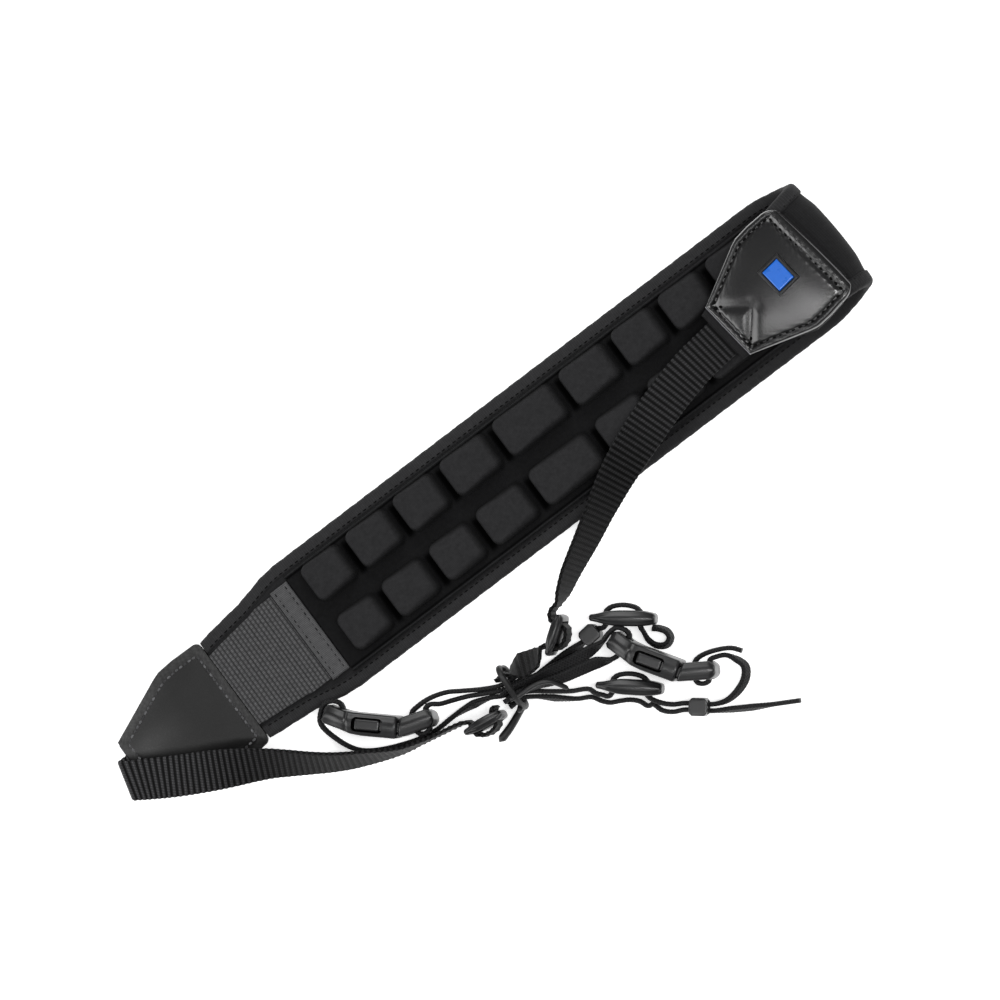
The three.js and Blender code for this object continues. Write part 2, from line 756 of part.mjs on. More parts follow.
// From the bundle past tri-glide B, through keeper B and on to the free end.
const CORD_TAIL = [
  [-36.5, -55.1, 5.2],
  [-32, -55.1, 5.2],
  [-28.6, -57.0, 4.4],
  [-24.4, -60.7, 3.0, 50, 68],
  [-18.8, -65.2, 2.5],
  ...beside(GLIDE_B, [
    [-11.6, -3.8, 2.4],
    [-8.5, -4.8, 2.4],
    [-6.0, -5.1, 2.4],
    [-3.0, -4.4, 2.4],
    [0, -3.9, 2.4],
    [3.0, -4.2, 2.4],
    [5.5, -5.4, 2.4],
  ]),
  [-1.6, -80.1, 2.6],
  [-0.4, -83.3, 3.2],
  [2.0, -85.7, 3.9],
  ...beside(KEEPER_B, [
    [-4.5, -1.0, 4.3],
    [0, -1.0, 4.4],
    [4.5, -1.0, 4.3],
  ]),
  [16.5, -95.6, 3.1, 60, 74],
  [21.8, -98.8, 2.2, 58, 70],
  [27.8, -102.1, 2.3],
  [34.7, -105.9, 2.3],
];

// ---------------------------------------------------------------- moulded hardware

const BUCKLE_LOW = 0.2;
const BUCKLE_HIGH = BUCKLE_LOW + BUCKLE_HEIGHT;
const SLOT_LOW = 5.5;             // the cord's slot, level with the middle of the buckle
const SLOT_HIGH = 10.9;

function outlineOf(points) {
  return new THREE.Shape(points.map(([x, y]) => new THREE.Vector2(x, y)));
}

// A slot that crosses a place from side to side, u along it.
function slotAcross(place, u, span) {
  const cut = new THREE.BoxGeometry(span, 12, SLOT_HIGH - SLOT_LOW);
  cut.translate(u, 0, (SLOT_HIGH + SLOT_LOW) / 2);
  cut.rotateZ(THREE.MathUtils.degToRad(place.angle));
  cut.translate(place.x, place.y, 0);
  return toManifold(cut);
}

// The female half in its own frame: its mouth at u = 0, the cord's bar at the far end.
function femaleHalf() {
  const outline = outlineOf([
    [-23.9, 0.3], [-23.2, -0.6], [-17.9, -1.9], [-14.5, -3.0], [-11, -3.35], [-0.3, -3.35],
    [-0.3, 3.35], [-14, 3.45], [-16.5, 3.7], [-21.8, 5.0], [-22.9, 4.5],
  ]);
  return fromManifold(toManifold(plate(outline, BUCKLE_LOW, BUCKLE_HIGH))
    .subtract(slotAcross(BAR_END, 0.9, 2.6))
    .subtract(block(-14.2, -4.8, -2.2, 2.2, -1, BUCKLE_HIGH + 1))
    .subtract(block(-5, 1, -2.0, 2.0, 1.6, BUCKLE_HIGH - 1.4)));
}

// The male half: two prongs in the female's frame, and a body that bends away from them.
function maleHalf() {
  const turn = THREE.MathUtils.degToRad(MALE_TURN);
  const [c, s] = [Math.cos(turn), Math.sin(turn)];
  const outline = outlineOf([
    [-1.16, -2.77], [9.4, -2.8], [11, -1.6], [11, 1.6], [9.4, 2.8], [1.52, 2.6],
  ].map(([u, v]) => [u * c - v * s, u * s + v * c]));
  const body = { x: 0, y: 0, angle: MALE_TURN };
  let male = toManifold(plate(outline, BUCKLE_LOW, BUCKLE_HIGH))
    .subtract(slotAcross(body, 4.1, 2.2))
    .subtract(slotAcross(body, 8.5, 2.2));
  for (const mirrored of [false, true]) {
    const level = (z0, z1) => (mirrored
      ? [BUCKLE_LOW + BUCKLE_HIGH - z1, BUCKLE_LOW + BUCKLE_HIGH - z0] : [z0, z1]);
    male = male
      .add(block(-6.5, 1.5, -1.5, 1.5, ...level(2.1, 4.6)))
      .add(block(-13.4, -5.6, -1.7, 1.7, ...level(0.7, 4.6)));
  }
  return fromManifold(male);
}

// A tri-glide on its side edge: a slightly bowed plate with two slots.
function triGlide(length, thick, height, slotAt, slotSpan, slotLow, slotHigh) {
  const a = length / 2;
  const b = thick / 2;
  const outline = outlineOf([
    [-a, -b * 0.55], [-a * 0.8, -b], [a * 0.8, -b], [a, -b * 0.55],
    [a, b * 0.55], [a * 0.8, b], [-a * 0.8, b], [-a, b * 0.55],
  ]);
  const slot = (u) => block(u - slotSpan / 2, u + slotSpan / 2, -5, 5, slotLow, slotHigh);
  return fromManifold(toManifold(plate(outline, BUCKLE_LOW, BUCKLE_LOW + height))
    .subtract(slot(-slotAt))
    .subtract(slot(slotAt)));
}

const smallGlide = () => triGlide(20.2, 3.5, 11, 5.3, 2.6, 3.2, 8.2);
const webbingGlide = () => triGlide(12.8, 3.2, 17, 3.6, 2.4, 1.8, 15.6);

const KEEPER_HEIGHT = 8.4;

// A barrel keeper, open along its length.
function keeper(holeHalf) {
  const body = outlineOf([
    [-2.9, -1.7], [-1.9, -2.7], [1.9, -2.7], [2.9, -1.7],
    [2.9, 1.7], [1.9, 2.7], [-1.9, 2.7], [-2.9, 1.7],
  ]);
  return fromManifold(toManifold(plate(body, BUCKLE_LOW, BUCKLE_LOW + KEEPER_HEIGHT))
    .subtract(block(-4, 4, -holeHalf, holeHalf, 2.0, 6.8)));
}

// ---------------------------------------------------------------- wire tie

// The section of the ring round the bundle, as y and z of the wire's middle.
const TIE_RING = [
  [-44.6, 8.5], [-44.7, 15.2], [-46.6, 17.3], [-50.4, 16.4], [-54.6, 13.8], [-57.3, 9.6],
  [-57.4, 3.5], [-56.5, 1.45], [-51.0, 1.4], [-46.2, 1.4], [-44.7, 3.0],
];
const TIE_X = -32.0;
const TIE_LEAN = 0.12;            // the ring leans along the bundle as it goes across it

function wireCurve(points, closed) {
  return new THREE.CatmullRomCurve3(
    points.map(([x, y, z]) => new THREE.Vector3(x + BUNDLE_X, y, z)), closed, 'centripetal',
  );
}

// An end of the wire, cut square.
function wireEnd(points, thick, steps) {
  const round = new THREE.Shape().absarc(0, 0, thick / 2, 0, Math.PI * 2, false);
  return toManifold(new THREE.ExtrudeGeometry(round, {
    extrudePath: wireCurve(points, false), steps, curveSegments: 4, bevelEnabled: false,
  }));
}

function wireTie() {
  const ring = TIE_RING.map(([y, z]) => [TIE_X + TIE_LEAN * (y + 51), y, z]);
  const looped = toManifold(
    new THREE.TubeGeometry(wireCurve(ring, true), 24, WIRE_THICK / 2, 8, true),
  );
  const thinEnd = wireEnd([
    [-34.2, -54.0, 14.2], [-31, -54.6, 14.2], [-27.5, -54.6, 13.8], [-24, -55.2, 13.4],
    [-21.5, -56.6, 12.8], [-19.7, -59.3, 10.6], [-18.6, -61.6, 8.6],
  ], 1.5, 8);
  const fatEnd = wireEnd([
    [-32.5, -57.0, 6.5], [-35.5, -58.0, 4.6], [-40.5, -59.8, 2.6], [-45.8, -61.2, 1.7],
  ], 2.6, 6);
  const stub = wireEnd([
    [-33.0, -56.6, 9.0], [-33.8, -57.6, 10.6], [-34.3, -58.2, 12.4],
  ], 1.8, 2);
  return fromManifold(looped
    .add(thinEnd)
    .add(fatEnd)
    .add(stub));
}

// ---------------------------------------------------------------- assembly

addPiece('pad_base', padBase(), neoprene);
addPiece('binding_upper', binding(1), bindingCloth);
addPiece('binding_lower', binding(-1), bindingCloth);
addPiece('cell_panel', cellPanel(), cellFabric);

const patchHalf = (s) => Math.min(15.4, padHalf(s) - BINDING_WIDTH - GAP - 0.6);
const hemHalf = () => 16.2;
const PATCH_TOP = PAD_THICK + GAP + 0.8;
const HEM_TOP = PAD_THICK + GAP + 1.3;

for (const [side, word] of [[-1, 'left'], [1, 'right']]) {
  const strip = (near, far, half, top) => (side < 0
    ? innerStrip(-far, -near, half, top) : innerStrip(near, far, half, top));
  addPiece(`hem_${word}`, strip(PANEL_END + GAP, HEM_END, hemHalf, HEM_TOP), bindingCloth);
  const patch = strip(HEM_END + GAP, PAD_EDGE - GAP, patchHalf, PATCH_TOP);
  addPiece(`patch_${word}`, patch, stretchWeave);
  addPiece(`inner_leather_${word}`, innerLeather(side), dullLeather);
  addPiece(`outer_leather_${word}`, outerLeather(side), glossLeather);
}

addPiece('badge_frame', badgeFrame(), badgeRim);
addPiece('badge_tile', fromManifold(badgeSolid(0, -0.6 - GAP)), badgeBlue);

addPiece('webbing_left', webbing(WEBBING_LEFT), webbingNylon);
addPiece('webbing_right', webbing(WEBBING_RIGHT), webbingNylon);
addPiece('buckle_female_left', put(femaleHalf(), FEMALE_LEFT), acetal);
addPiece('buckle_male_left', put(maleHalf(), FEMALE_LEFT), acetal);
addPiece('buckle_female_right', put(femaleHalf(), FEMALE_RIGHT), acetal);
addPiece('buckle_male_right', put(maleHalf(), FEMALE_RIGHT), acetal);
addPiece('tri_glide_a', put(smallGlide(), GLIDE_A), acetal);
addPiece('tri_glide_b', put(smallGlide(), GLIDE_B), acetal);
addPiece('tri_glide_c', put(webbingGlide(), GLIDE_C), acetal);
addPiece('tri_glide_d', put(webbingGlide(), GLIDE_D), acetal);
addPiece('keeper_a', put(keeper(1.1), KEEPER_A), acetal);
addPiece('keeper_b', put(keeper(2.05), KEEPER_B), acetal);
addPiece('cord_sling_left', cord(CORD_SLING_LEFT), cordNylon);
addPiece('cord_loop_left', cord(CORD_LOOP_LEFT), cordNylon);
addPiece('cord_sling_right', cord(CORD_SLING_RIGHT), cordNylon);
addPiece('cord_loop_right', cord(CORD_LOOP_RIGHT), cordNylon);
addPiece('cord_tail', cord(CORD_TAIL), cordNylon);
addPiece('wire_tie', wireTie(), coatedWire);

export default strap;
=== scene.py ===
"""Binocular strap: an air-cell pad with leather shields, webbing and a tied bundle of cords.

Lengths are millimetres in the tables and functions, and become metres when a mesh is made.
The pad's long axis is +X, +Z is up and the strap lies on z = 0.
"""

import math

import bpy
import numpy as np
from bpy.props import FloatProperty, FloatVectorProperty, PointerProperty
from mathutils import Matrix, Vector


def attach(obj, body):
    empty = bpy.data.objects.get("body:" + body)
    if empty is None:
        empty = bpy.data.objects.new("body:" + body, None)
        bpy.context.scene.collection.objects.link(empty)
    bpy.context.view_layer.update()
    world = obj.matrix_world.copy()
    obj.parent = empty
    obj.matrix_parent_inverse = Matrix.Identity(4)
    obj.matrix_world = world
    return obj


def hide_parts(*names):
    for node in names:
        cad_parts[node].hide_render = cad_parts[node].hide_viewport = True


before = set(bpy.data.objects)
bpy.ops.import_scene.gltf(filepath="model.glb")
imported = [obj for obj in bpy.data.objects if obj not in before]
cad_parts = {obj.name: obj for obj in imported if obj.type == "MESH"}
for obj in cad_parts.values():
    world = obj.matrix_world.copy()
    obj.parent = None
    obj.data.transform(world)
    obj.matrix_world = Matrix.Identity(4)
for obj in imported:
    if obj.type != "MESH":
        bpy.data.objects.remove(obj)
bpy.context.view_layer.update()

bl_info = {
    "name": "Binocular strap",
    "version": (1, 0, 0),
    "blender": (4, 5, 0),
    "location": "View3D > Sidebar > Strap",
    "description": "Builds an air-cell binocular strap piece by piece",
    "category": "Add Mesh",
}

MM = 0.001


def linear(text):
    """sRGB hex to linear: c / 12.92 below 0.04045, else ((c + 0.055) / 1.055) ^ 2.4."""
    c = np.array([int(text[i:i + 2], 16) for i in (1, 3, 5)]) / 255.0
    return tuple(np.where(c <= 0.04045, c / 12.92, ((c + 0.055) / 1.055) ** 2.4).tolist())


# ------------------------------------------------------------------ sizes and colours


def millimetres(name, description, default):
    return FloatProperty(name=name, description=description, default=default, min=0.0)


def colour(name, description, text):
    return FloatVectorProperty(
        name=name, description=description, default=linear(text), subtype="COLOR",
        min=0.0, max=1.0,
    )


class StrapSizes(bpy.types.PropertyGroup):
    """Sizes of the strap's surface detail, in millimetres."""

    cell_crown: millimetres("Cell crown", "Height of an air cell over the panel", 5.1)
    rib_pitch: millimetres("Rib pitch", "Distance between the webbing's ribs", 1.75)
    weave_along: millimetres("Weave along", "Pitch of the stretch weave along the pad", 1.28)
    weave_across: millimetres("Weave across", "Pitch of the stretch weave across it", 1.47)
    stitch_pitch: millimetres("Stitch pitch", "Distance between stitches in leather", 2.4)
    tape_stitch: millimetres("Tape stitch", "Distance between stitches in the binding", 2.0)
    cord_weave: millimetres("Cord weave", "Pitch of the flat cord's plaits", 1.1)


class StrapColours(bpy.types.PropertyGroup):
    """Colours of the strap's materials."""

    neoprene: colour("Neoprene", "Knit cover of the pad's back", "#1c1c1d")
    cells: colour("Cells", "Stretch cover of the air cells", "#2a2a2b")
    tape: colour("Binding tape", "Woven tape on the pad's edges", "#2b2b2c")
    weave: colour("Stretch weave", "Coarse elastic patch", "#505051")
    dull_leather: colour("Dull leather", "Inner shields", "#222222")
    gloss_leather: colour("Gloss leather", "Outer shields", "#101011")
    webbing: colour("Webbing", "Half-inch webbing", "#29292a")
    cord: colour("Cord", "Flat woven cord", "#131314")
    moulding: colour("Moulding", "Buckles, tri-glides and keepers", "#161617")
    rim: colour("Rim", "Rim of the badge", "#101011")
    tile: colour("Tile", "Plain tile on the folded shield", "#0f5fc0")
    wire: colour("Wire", "Coated wire of the tie", "#0e0e0f")
    grey_thread: colour("Grey thread", "Stitches of the inner shields", "#6a6a6c")
    black_thread: colour("Black thread", "Stitches of the outer shields", "#050505")


class StudioSettings(bpy.types.PropertyGroup):
    """Camera and light."""

    lean: FloatProperty(
        name="Lean", description="How far the camera leans from straight above",
        default=math.radians(8.0), subtype="ANGLE",
    )
    rise: FloatProperty(
        name="Rise", description="How far the pad's axis rises to the right in the view",
        default=math.radians(36.93), subtype="ANGLE",
    )
    distance: FloatProperty(
        name="Distance", description="From the camera to the strap",
        default=4.0, unit="LENGTH",
    )
    width: FloatProperty(
        name="Width", description="Width of the view at the floor",
        default=0.3010, unit="LENGTH",
    )
    aim_x: FloatProperty(
        name="Aim X", description="Middle of the view along the pad", default=-0.0227,
        unit="LENGTH",
    )
    aim_y: FloatProperty(
        name="Aim Y", description="Middle of the view across the pad", default=-0.0030,
        unit="LENGTH",
    )


# ------------------------------------------------------------------ meshes from arrays


def grid(points, closed=False, uv=None, tone=None, slot=0):
    """A patch from rings of points, an (n, m, 3) array.

    Quads join neighbours (i, j), (i + 1, j), (i + 1, j + 1), (i, j + 1), and each ring closes
    on itself. closed joins the last ring to the first; otherwise a face covers each end. uv
    is (n, m + 1, 2), so that a ring has its full length.
    """
    n, m = points.shape[:2]
    i, j = np.meshgrid(np.arange(n if closed else n - 1), np.arange(m), indexing="ij")
    corners = [(i, j), (i + 1, j), (i + 1, j + 1), (i, j + 1)]
    quads = np.stack([(a % n) * m + b % m for a, b in corners], axis=-1).reshape(-1, 4)
    verts = points.reshape(-1, 3)
    turn = -1 if inside_out(verts, quads) else 1
    faces = quads[:, ::turn].tolist()
    loops = np.zeros((len(quads), 4, 2))
    if uv is not None:
        loops = np.stack([uv[a, b] for a, b in corners], axis=-2).reshape(-1, 4, 2)
    loops = loops[:, ::turn].reshape(-1, 2)
    if not closed:
        first, last = np.arange(m)[::-1], np.arange((n - 1) * m, n * m)
        faces += [first[::turn].tolist(), last[::turn].tolist()]
        flat = np.zeros((n * m, 2)) if uv is None else uv[:n, :m].reshape(-1, 2)
        loops = np.concatenate([loops, flat[first[::turn]], flat[last[::turn]]])
    tones = np.full(len(verts), 0.5) if tone is None else np.broadcast_to(tone, (n, m)).ravel()
    return {"verts": verts, "faces": faces, "uv": loops, "tone": tones, "slot": slot}


def inside_out(verts, quads):
    """Whether the patch's signed volume, the sum of a . (b x c) over its faces, is negative."""
    a, b, c, d = (verts[quads[:, k]] - verts.mean(axis=0) for k in range(4))
    return (a * np.cross(b, c)).sum() + (a * np.cross(c, d)).sum() < 0


def joined_mesh(name, patches):
    """One smooth mesh of all patches, with their UV map, tones and material numbers."""
    verts = np.concatenate([patch["verts"] for patch in patches]) * MM
    faces = []
    start = 0
    for patch in patches:
        faces += [[start + k for k in face] for face in patch["faces"]]
        start += len(patch["verts"])
    mesh = bpy.data.meshes.new(name)
    mesh.from_pydata(verts.tolist(), [], faces)
    slots = np.concatenate([np.full(len(p["faces"]), p["slot"]) for p in patches])
    mesh.polygons.foreach_set("material_index", slots.astype(np.int32))
    mesh.polygons.foreach_set("use_smooth", np.full(len(faces), True))
    loops = np.concatenate([patch["uv"] for patch in patches]).astype(np.float32)
    mesh.uv_layers.new(name="UVMap").data.foreach_set("uv", loops.ravel())
    tones = np.concatenate([patch["tone"] for patch in patches]).astype(np.float32)
    mesh.attributes.new("tone", "FLOAT", "POINT").data.foreach_set("value", tones)
    mesh.update()
    return mesh


def make_piece(name, patches, materials, nodes, holes=()):
    """Joins patches into one object at the origin that rides on the strap.

    It replaces the solids of its nodes. holes are closed patches that are cut out of it one
    by one.
    """
    mesh = joined_mesh(name, patches)
    for hole in holes:
        mesh = cut(name, mesh, joined_mesh("hole", [hole]))
    for material in materials:
        mesh.materials.append(material)
    piece = bpy.data.objects.new(name, mesh)
    bpy.context.scene.collection.objects.link(piece)
    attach(piece, "root")
    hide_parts(*nodes)
    return piece


def cut(name, mesh, hole):
    """The mesh without what lies inside hole."""
    body, tool = (bpy.data.objects.new(word, m) for word, m in (("body", mesh), ("tool", hole)))
    for thing in (body, tool):
        bpy.context.scene.collection.objects.link(thing)
    modifier = body.modifiers.new("cut", "BOOLEAN")
    modifier.operation, modifier.solver, modifier.object = "DIFFERENCE", "EXACT", tool
    bpy.context.view_layer.update()
    evaluated = body.evaluated_get(bpy.context.evaluated_depsgraph_get())
    left = bpy.data.meshes.new_from_object(evaluated)
    left.name = name
    left.set_sharp_from_angle(angle=math.radians(38))
    for thing, data in ((body, mesh), (tool, hole)):
        bpy.data.objects.remove(thing)
        bpy.data.meshes.remove(data)
    return left


def unit(vectors):
    """Vectors divided by their length."""
    return vectors / np.maximum(np.linalg.norm(vectors, axis=-1, keepdims=True), 1e-9)


def smooth_step(low, high, x):
    """x between low and high as 3 k^2 - 2 k^3."""
    k = np.clip((x - low) / (high - low), 0.0, 1.0)
    return k * k * (3.0 - 2.0 * k)


# ------------------------------------------------------------------ routes of the straps

# The bundle's tables count x from here.
BUNDLE_X = -20.5
WEBBING_WIDTH = 12.7
WEBBING_THICK = 1.3
CORD_WIDTH = 4.0
CORD_THICK = 1.3


def beside(place, rows):
    """Rows given along and across a place (x, y, angle), turned and shifted into the bundle."""
    x, y, angle = place
    c, s = math.cos(math.radians(angle)), math.sin(math.radians(angle))
    return [(x + u * c - v * s, y + u * s + v * c, *rest) for u, v, *rest in rows]


def within(outer, inner):
    """A place in another place's frame."""
    x, y = beside(outer, [inner[:2]])[0]
    return (x, y, outer[2] + inner[2])


# Places are x, y and the angle of the long axis. A cord bar and a male half are given in
# the frame of their female half.
BAR_END = (-19.7, 1.5, -14.0)
MALE_TURN = (0.0, 0.0, 24.0)
FEMALE_LEFT = (-66.4, -40.4, -42.0)
FEMALE_RIGHT = (11.6, -77.9, -57.0)
MALE_LEFT = within(FEMALE_LEFT, MALE_TURN)
MALE_RIGHT = within(FEMALE_RIGHT, MALE_TURN)
BAR_LEFT = within(FEMALE_LEFT, BAR_END)
BAR_RIGHT = within(FEMALE_RIGHT, BAR_END)
GLIDE_A = (7.0, -54.3, -38.0)
GLIDE_B = (-3.8, -72.0, -40.4)
GLIDE_C = (-45.0, -54.6, -8.0)
GLIDE_D = (-12.0, -46.4, 35.8)
KEEPER_A = (-4.0, -52.3, 6.0)
KEEPER_B = (9.3, -89.3, -38.5)

# Rows are x, y, z and, for a strap that doesn't stand on edge, azimuth and tilt of its width.
WEBBING_LEFT = [
    (-122, -1.66, 4.25, 90, 0), (-130, -2.06, 4.25, 90, 0), (-137, -2.45, 4.25, 84, 0),
    (-141.8, -2.6, 4.25, 75, 0), (-142.9, -2.6, 4.7, 75, 0), (-143.4, -2.8, 5.78, 75, 0),
    (-143.1, -3.2, 6.85, 75, 0), (-142.1, -3.85, 7.3, 75, 0), (-137, -6.9, 7.4, 66, 0),
    (-132, -9.9, 7.5, 60, 0), (-127, -12.7, 7.6, 60, 2), (-121, -15.9, 7.9, 61, 12),
    (-115, -19.2, 8.3, 60, 25), (-110, -22.0, 7.9, 59, 36), (-105, -25.0, 7.2, 57, 44),
    (-100, -28.6, 6.7, 54, 51), (-95, -32.3, 6.6, 54, 58), (-90, -35.8, 6.6, 56, 63),
    (-85, -38.8, 6.7, 60, 67), (-80, -41.4, 6.8, 63, 72), (-75, -43.9, 6.9, 68, 78),
    (-70, -46.0, 7.1, 74, 84), (-65, -47.3, 7.6, 80, 88), (-60, -48.5, 8.2, 90, 90),
    (-55.0, -49.5, 8.7),
    *beside(GLIDE_C, [
        (-7.0, 3.4, 8.7), (-4.8, 2.9, 8.7), (-3.7, 1.9, 8.7), (-3.6, 0, 8.7),
        (-3.5, -1.8, 8.7), (-2.3, -2.9, 8.7), (0, -3.4, 8.7), (2.3, -2.9, 8.7),
        (3.5, -1.8, 8.7), (3.6, 0, 8.7), (3.7, 1.9, 8.7), (5.4, 2.9, 8.9),
    ]),
]

WEBBING_RIGHT = [
    (100.7, -3.43, 14.15, 96.8, 0), (91, -4.6, 13.06, 96.8, 0), (81.5, -5.75, 12.0, 97, 0),
    (76, -6.3, 11.0, 98, 0), (70, -7.0, 10.6, 100, 0), (60, -9.3, 10.5, 105, 0),
    (50, -12.3, 10.6, 108, 4), (40.4, -15.7, 10.6, 109, 22), (30.8, -19.6, 9.7, 112, 38),
    (21.2, -24.3, 8.4, 115, 52), (11.6, -29.3, 7.5, 117, 61), (6.8, -31.7, 7.3, 118, 66),
    (2.1, -34.2, 7.3, 121, 71), (-2.7, -37.3, 7.6, 126, 79), (-5.7, -39.1, 8.2, 130, 90),
    *beside(GLIDE_D, [
        (6.9, 3.2, 8.7), (4.9, 2.9, 8.7), (3.7, 1.9, 8.7), (3.6, 0, 8.7),
        (3.5, -1.8, 8.7), (2.3, -2.9, 8.7), (0, -3.4, 8.7), (-2.3, -2.9, 8.7),
        (-3.5, -1.8, 8.7), (-3.6, 0, 8.7), (-3.7, 1.9, 8.7), (-4.9, 2.9, 8.7),
        (-8.0, 3.6, 8.9, 78, 118),
    ]),
    (-26.0, -47.5, 9.6, 78, 130), (-31, -46.8, 9.2), (-34.4, -46.7, 9.2),
]

CORD_SLING_LEFT = [
    *beside(BAR_LEFT, [
        (0.9, 0.0, 8.2), (0.9, 2.9, 8.2), (-0.3, 4.1, 8.2), (-2.6, 4.1, 8.2),
        (-4.7, 2.6, 8.1), (-5.1, -0.6, 7.9), (-3.9, -3.8, 7.4),
    ]),
    (-83.9, -32.6, 6.2), (-81.6, -37.2, 4.4), (-78.8, -39.8, 3.2), (-74.4, -42.3, 2.6),
    (-69.4, -44.4, 2.4), (-64.5, -46.0, 2.4), (-58.6, -46.95, 2.4), (-51.7, -46.8, 2.5),
    (-45, -47.6, 3.0, 90, 60), (-40, -49.0, 3.8), (-35.5, -51.3, 5.0), (-30, -51.9, 5.0),
    (-23.4, -52.6, 4.6, 90, 65), (-14.4, -53.0, 3.5, 90, 14), (-7.6, -52.7, 4.3, 90, 80),
    (-4.0, -52.3, 4.4), (-1.0, -52.1, 4.5),
    *beside(GLIDE_A, [
        (-6.3, -3.1, 5.3), (-5.3, -2.0, 5.7), (-5.3, 0, 5.7), (-5.2, 1.9, 5.7),
        (-3.9, 3.2, 5.7), (-2.0, 3.8, 5.7), (0, 4.0, 5.7), (2.0, 3.8, 5.7),
        (3.9, 3.2, 5.7), (5.2, 1.9, 5.7), (5.3, 0, 5.7), (5.2, -2.2, 5.6),
    ]),
    (9.3, -61.5, 4.9, 10, 80), (9.0, -64.0, 3.9, 20, 74), (10.0, -66.8, 3.0, 50, 72),
    (12.4, -68.3, 2.6, 92, 72), (14.6, -67.3, 2.6, 140, 72), (14.9, -65.2, 2.8, 190, 72),
    (13.6, -63.1, 3.1, 220, 74), (12.0, -61.7, 3.3, 235, 76),
]

CORD_LOOP_LEFT = [
    (-25, -50.2, 4.9), (-30, -50.3, 5.0), (-35, -49.7, 5.0), (-40, -47.3, 4.4),
    (-45, -44.7, 4.2), (-49.2, -43.0, 5.2),
    *beside(MALE_LEFT, [
        (13.4, 3.0, 7.6), (10.6, 3.8, 8.1), (9.2, 3.3, 8.2), (8.5, 1.8, 8.2),
        (8.5, -1.8, 8.2), (7.9, -3.4, 8.2), (6.3, -3.9, 8.2), (4.7, -3.4, 8.2),
        (4.1, -1.8, 8.2), (4.1, 1.8, 8.2), (4.8, 3.4, 8.2), (7.0, 4.5, 8.1),
        (11.0, 5.6, 7.6),
    ]),
    (-49.2, -40.0, 6.2), (-45, -42.6, 5.2), (-40, -45.7, 4.8), (-35, -48.1, 5.0),
    (-31, -48.6, 5.0), (-28, -48.7, 5.0),
]

CORD_SLING_RIGHT = [
    (-36.5, -51.0, 9.7), (-32, -51.0, 9.7), (-26.7, -52.4, 9.5, 80, 65),
    (-18.8, -54.3, 9.1, 78, 25), (-8.0, -56.2, 9.2, 78, 22),
    *beside(BAR_RIGHT, [
        (-5.4, -2.6, 8.3), (-5.2, 0.6, 8.2), (-4.3, 3.2, 8.2), (-2.6, 4.1, 8.2),
        (-0.4, 4.1, 8.2), (0.9, 2.8, 8.2), (0.9, 0, 8.2), (0.9, -3.0, 8.2),
    ]),
    (-2.9, -62.2, 8.2), (-7.0, -60.4, 8.4, 72, 28), (-12.4, -59.0, 8.8, 74, 24),
    (-19.0, -57.4, 9.3, 74, 36), (-25.7, -55.0, 9.6, 78, 70), (-32, -53.2, 9.7),
    (-36.5, -53.2, 9.7),
]

CORD_LOOP_RIGHT = [
    (-36.5, -53.5, 5.0), (-32, -53.5, 5.0), (-28.6, -55.0, 5.0), (-24.4, -58.2, 5.6),
    (-18.8, -62.3, 5.2),
    *beside(GLIDE_B, [
        (-12.4, -1.4, 5.2), (-10.2, -2.5, 5.5), (-8.0, -2.9, 5.6), (-6.3, -3.2, 5.7),
        (-5.3, -2.0, 5.7), (-5.3, 0, 5.7), (-5.2, 1.9, 5.7), (-3.9, 3.2, 5.7),
        (-2.0, 3.8, 5.7), (0, 4.0, 5.7), (2.0, 3.8, 5.7), (3.9, 3.2, 5.7),
        (5.2, 1.9, 5.7), (5.3, 0, 5.7), (5.4, -2.0, 5.7), (6.6, -3.1, 5.6),
    ]),
    (1.1, -81.7, 4.9), (3.5, -84.0, 4.5),
    *beside(KEEPER_B, [(-4.5, 1.0, 4.3), (0, 1.0, 4.4), (4.5, 1.0, 4.3)]),
    (17.2, -92.7, 3.9, 92, 82), (21.5, -92.4, 3.8, 104, 68), (25.6, -90.7, 4.3, 126, 62),
    (27.8, -87.9, 5.2, 155, 64), (27.2, -84.9, 6.4, 190, 72),
    *beside(MALE_RIGHT, [
        (13.6, 4.2, 7.5), (10.6, 3.8, 8.1), (9.2, 3.3, 8.2), (8.5, 1.8, 8.2),
        (8.5, -1.8, 8.2), (7.9, -3.4, 8.2), (6.3, -3.9, 8.2), (4.7, -3.4, 8.2),
        (4.1, -1.8, 8.2), (4.1, 1.8, 8.2), (4.8, 3.4, 8.2), (7.0, 4.8, 8.2),
        (11.0, 5.9, 8.0), (15.5, 6.2, 7.6), (18.6, 5.2, 7.2),
    ]),
]

CORD_TAIL = [
    (-36.5, -55.1, 5.2), (-32, -55.1, 5.2), (-28.6, -57.0, 4.4), (-24.4, -60.7, 3.0, 50, 68),
    (-18.8, -65.2, 2.5),
    *beside(GLIDE_B, [
        (-11.6, -3.8, 2.4), (-8.5, -4.8, 2.4), (-6.0, -5.1, 2.4), (-3.0, -4.4, 2.4),
        (0, -3.9, 2.4), (3.0, -4.2, 2.4), (5.5, -5.4, 2.4),
    ]),
    (-1.6, -80.1, 2.6), (-0.4, -83.3, 3.2), (2.0, -85.7, 3.9),
    *beside(KEEPER_B, [(-4.5, -1.0, 4.3), (0, -1.0, 4.4), (4.5, -1.0, 4.3)]),
    (16.5, -95.6, 3.1, 60, 74), (21.8, -98.8, 2.2, 58, 70), (27.8, -102.1, 2.3),
    (34.7, -105.9, 2.3),
]


